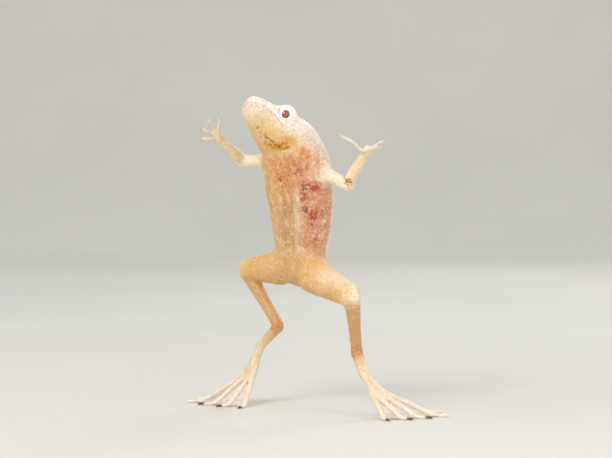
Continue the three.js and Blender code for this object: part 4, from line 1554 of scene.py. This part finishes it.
def make_stitches(skin):
    """All the stitches as one piece, set on the skin."""
    points, _ = read_mesh(skin.data)
    tree = BVHTree.FromPolygons(points.tolist(), [tuple(face.vertices) for face in skin.data.polygons])
    found = [*row_stitches(tree), *eye_stitches(tree)]
    maker = new_object("stitch_points", to_metres([tuple(hit) for hit, _, _ in found]), [])
    for name, values in (("out", [n for _, n, _ in found]), ("along", [a for _, _, a in found])):
        layer = maker.data.attributes.new(name, "FLOAT_VECTOR", "POINT")
        layer.data.foreach_set("vector", np.array([tuple(v) for v in values], np.float32).ravel())
    modifier = maker.modifiers.new("stitches", "NODES")
    modifier.node_group = stitch_tree(stitch_material())
    sockets = {item.name: item.identifier for item in modifier.node_group.interface.items_tree
               if item.in_out == "INPUT"}
    for label, size in STITCH.items():
        modifier[sockets[label]] = size * MM
    place_piece(baked("stitches", maker), ["torso"])


# The floor is flat out to one radius and then bends up to a low wall. Lengths are in metres.
FLOOR = {"middle": 0.02, "flat": 0.6, "bend": 0.3, "rise": 0.12, "sides": 96, "steps": 24}


def make_floor():
    """A pale floor that curves up all round, far outside the frog."""
    flat, bend, sides = FLOOR["flat"], FLOOR["bend"], FLOOR["sides"]
    turn = np.linspace(0, math.pi / 2, FLOOR["steps"])
    radius = [FLOOR["middle"], flat / 3, flat * 2 / 3, *(flat + bend * np.sin(turn)), flat + bend]
    height = [0, 0, 0, *(bend * (1 - np.cos(turn))), bend + FLOOR["rise"]]
    a = np.linspace(0, 2 * math.pi, sides, endpoint=False)
    points = [(x * r, y * r, z) for r, z in zip(radius, height) for x, y in zip(np.cos(a), np.sin(a))]
    faces = [tuple(range(sides))]
    for i in range(len(radius) - 1):
        low, high = i * sides, (i + 1) * sides
        for k in range(sides):
            after = (k + 1) % sides
            faces.append((low + k, high + k, high + after, low + after))
    new_object("floor", np.array(points), faces, floor_material())


# Each lamp's place and size in metres, its power in watts and its colour
LAMPS = {
    "key": ((-0.28, -0.42, 0.42), 0.34, 2.1, (1.0, 0.97, 0.93)),
    "fill": ((0.45, -0.4, 0.25), 0.4, 0.85, (0.97, 0.98, 1.0)),
    "rim": ((0.3, 0.42, 0.35), 0.25, 0.7, (1.0, 1.0, 1.0)),
}
LAMPS_FACE = (0, 0, 0.035)
SKY = {"Color": (0.95, 0.97, 1.0, 1.0), "Strength": 0.68}


def add_lamp(name, at, size, power, colour):
    lamp = bpy.data.lights.new(name, "AREA")
    lamp.shape = "DISK"
    lamp.size = size
    lamp.energy = power
    lamp.color = colour
    made = bpy.data.objects.new(name, lamp)
    made.location = at
    made.rotation_euler = (Vector(LAMPS_FACE) - Vector(at)).to_track_quat("-Z", "Y").to_euler()
    bpy.context.scene.collection.objects.link(made)


def make_lights():
    for name, values in LAMPS.items():
        add_lamp(name, *values)
    world = bpy.data.worlds.new("studio")
    world.use_nodes = True
    for label, value in SKY.items():
        world.node_tree.nodes["Background"].inputs[label].default_value = value
    bpy.context.scene.world = world


# The camera looks towards +Y and a little down, at a target in the frog's own millimetres. Its
# distance is in metres, its elevation in degrees, and its lens and sensor in millimetres.
CAMERA = {"target": (0.0, 0.0, 35.9), "distance": 0.4, "elevation": 2.0, "lens": 117.65, "sensor": 36}


def make_camera():
    lens = bpy.data.cameras.new("camera")
    lens.lens = CAMERA["lens"]
    lens.sensor_width = CAMERA["sensor"]
    made = bpy.data.objects.new("camera", lens)
    bpy.context.scene.collection.objects.link(made)
    tilt = math.radians(CAMERA["elevation"])
    back = Vector((0, -math.cos(tilt), math.sin(tilt))) * CAMERA["distance"]
    made.location = Vector(to_metres(CAMERA["target"])) + back
    made.rotation_euler = (math.pi / 2 - tilt, 0, 0)
    bpy.context.scene.camera = made


skin = make_skin()
make_stitches(skin)
eye_look, claw_look, web_look = eye_material(), claw_material(), web_material()
for side in EYES:
    make_eye(side, eye_look)
    make_webs(side, LEGS[side], web_look)
    for number, toe in enumerate(LEGS[side]["toes"][:CLAWED], 1):
        make_claw(f"claw_{side}_{number}", LEGS[side], toe, claw_look)
make_floor()
make_lights()
make_camera()
bpy.context.scene.view_settings.view_transform = "Standard"
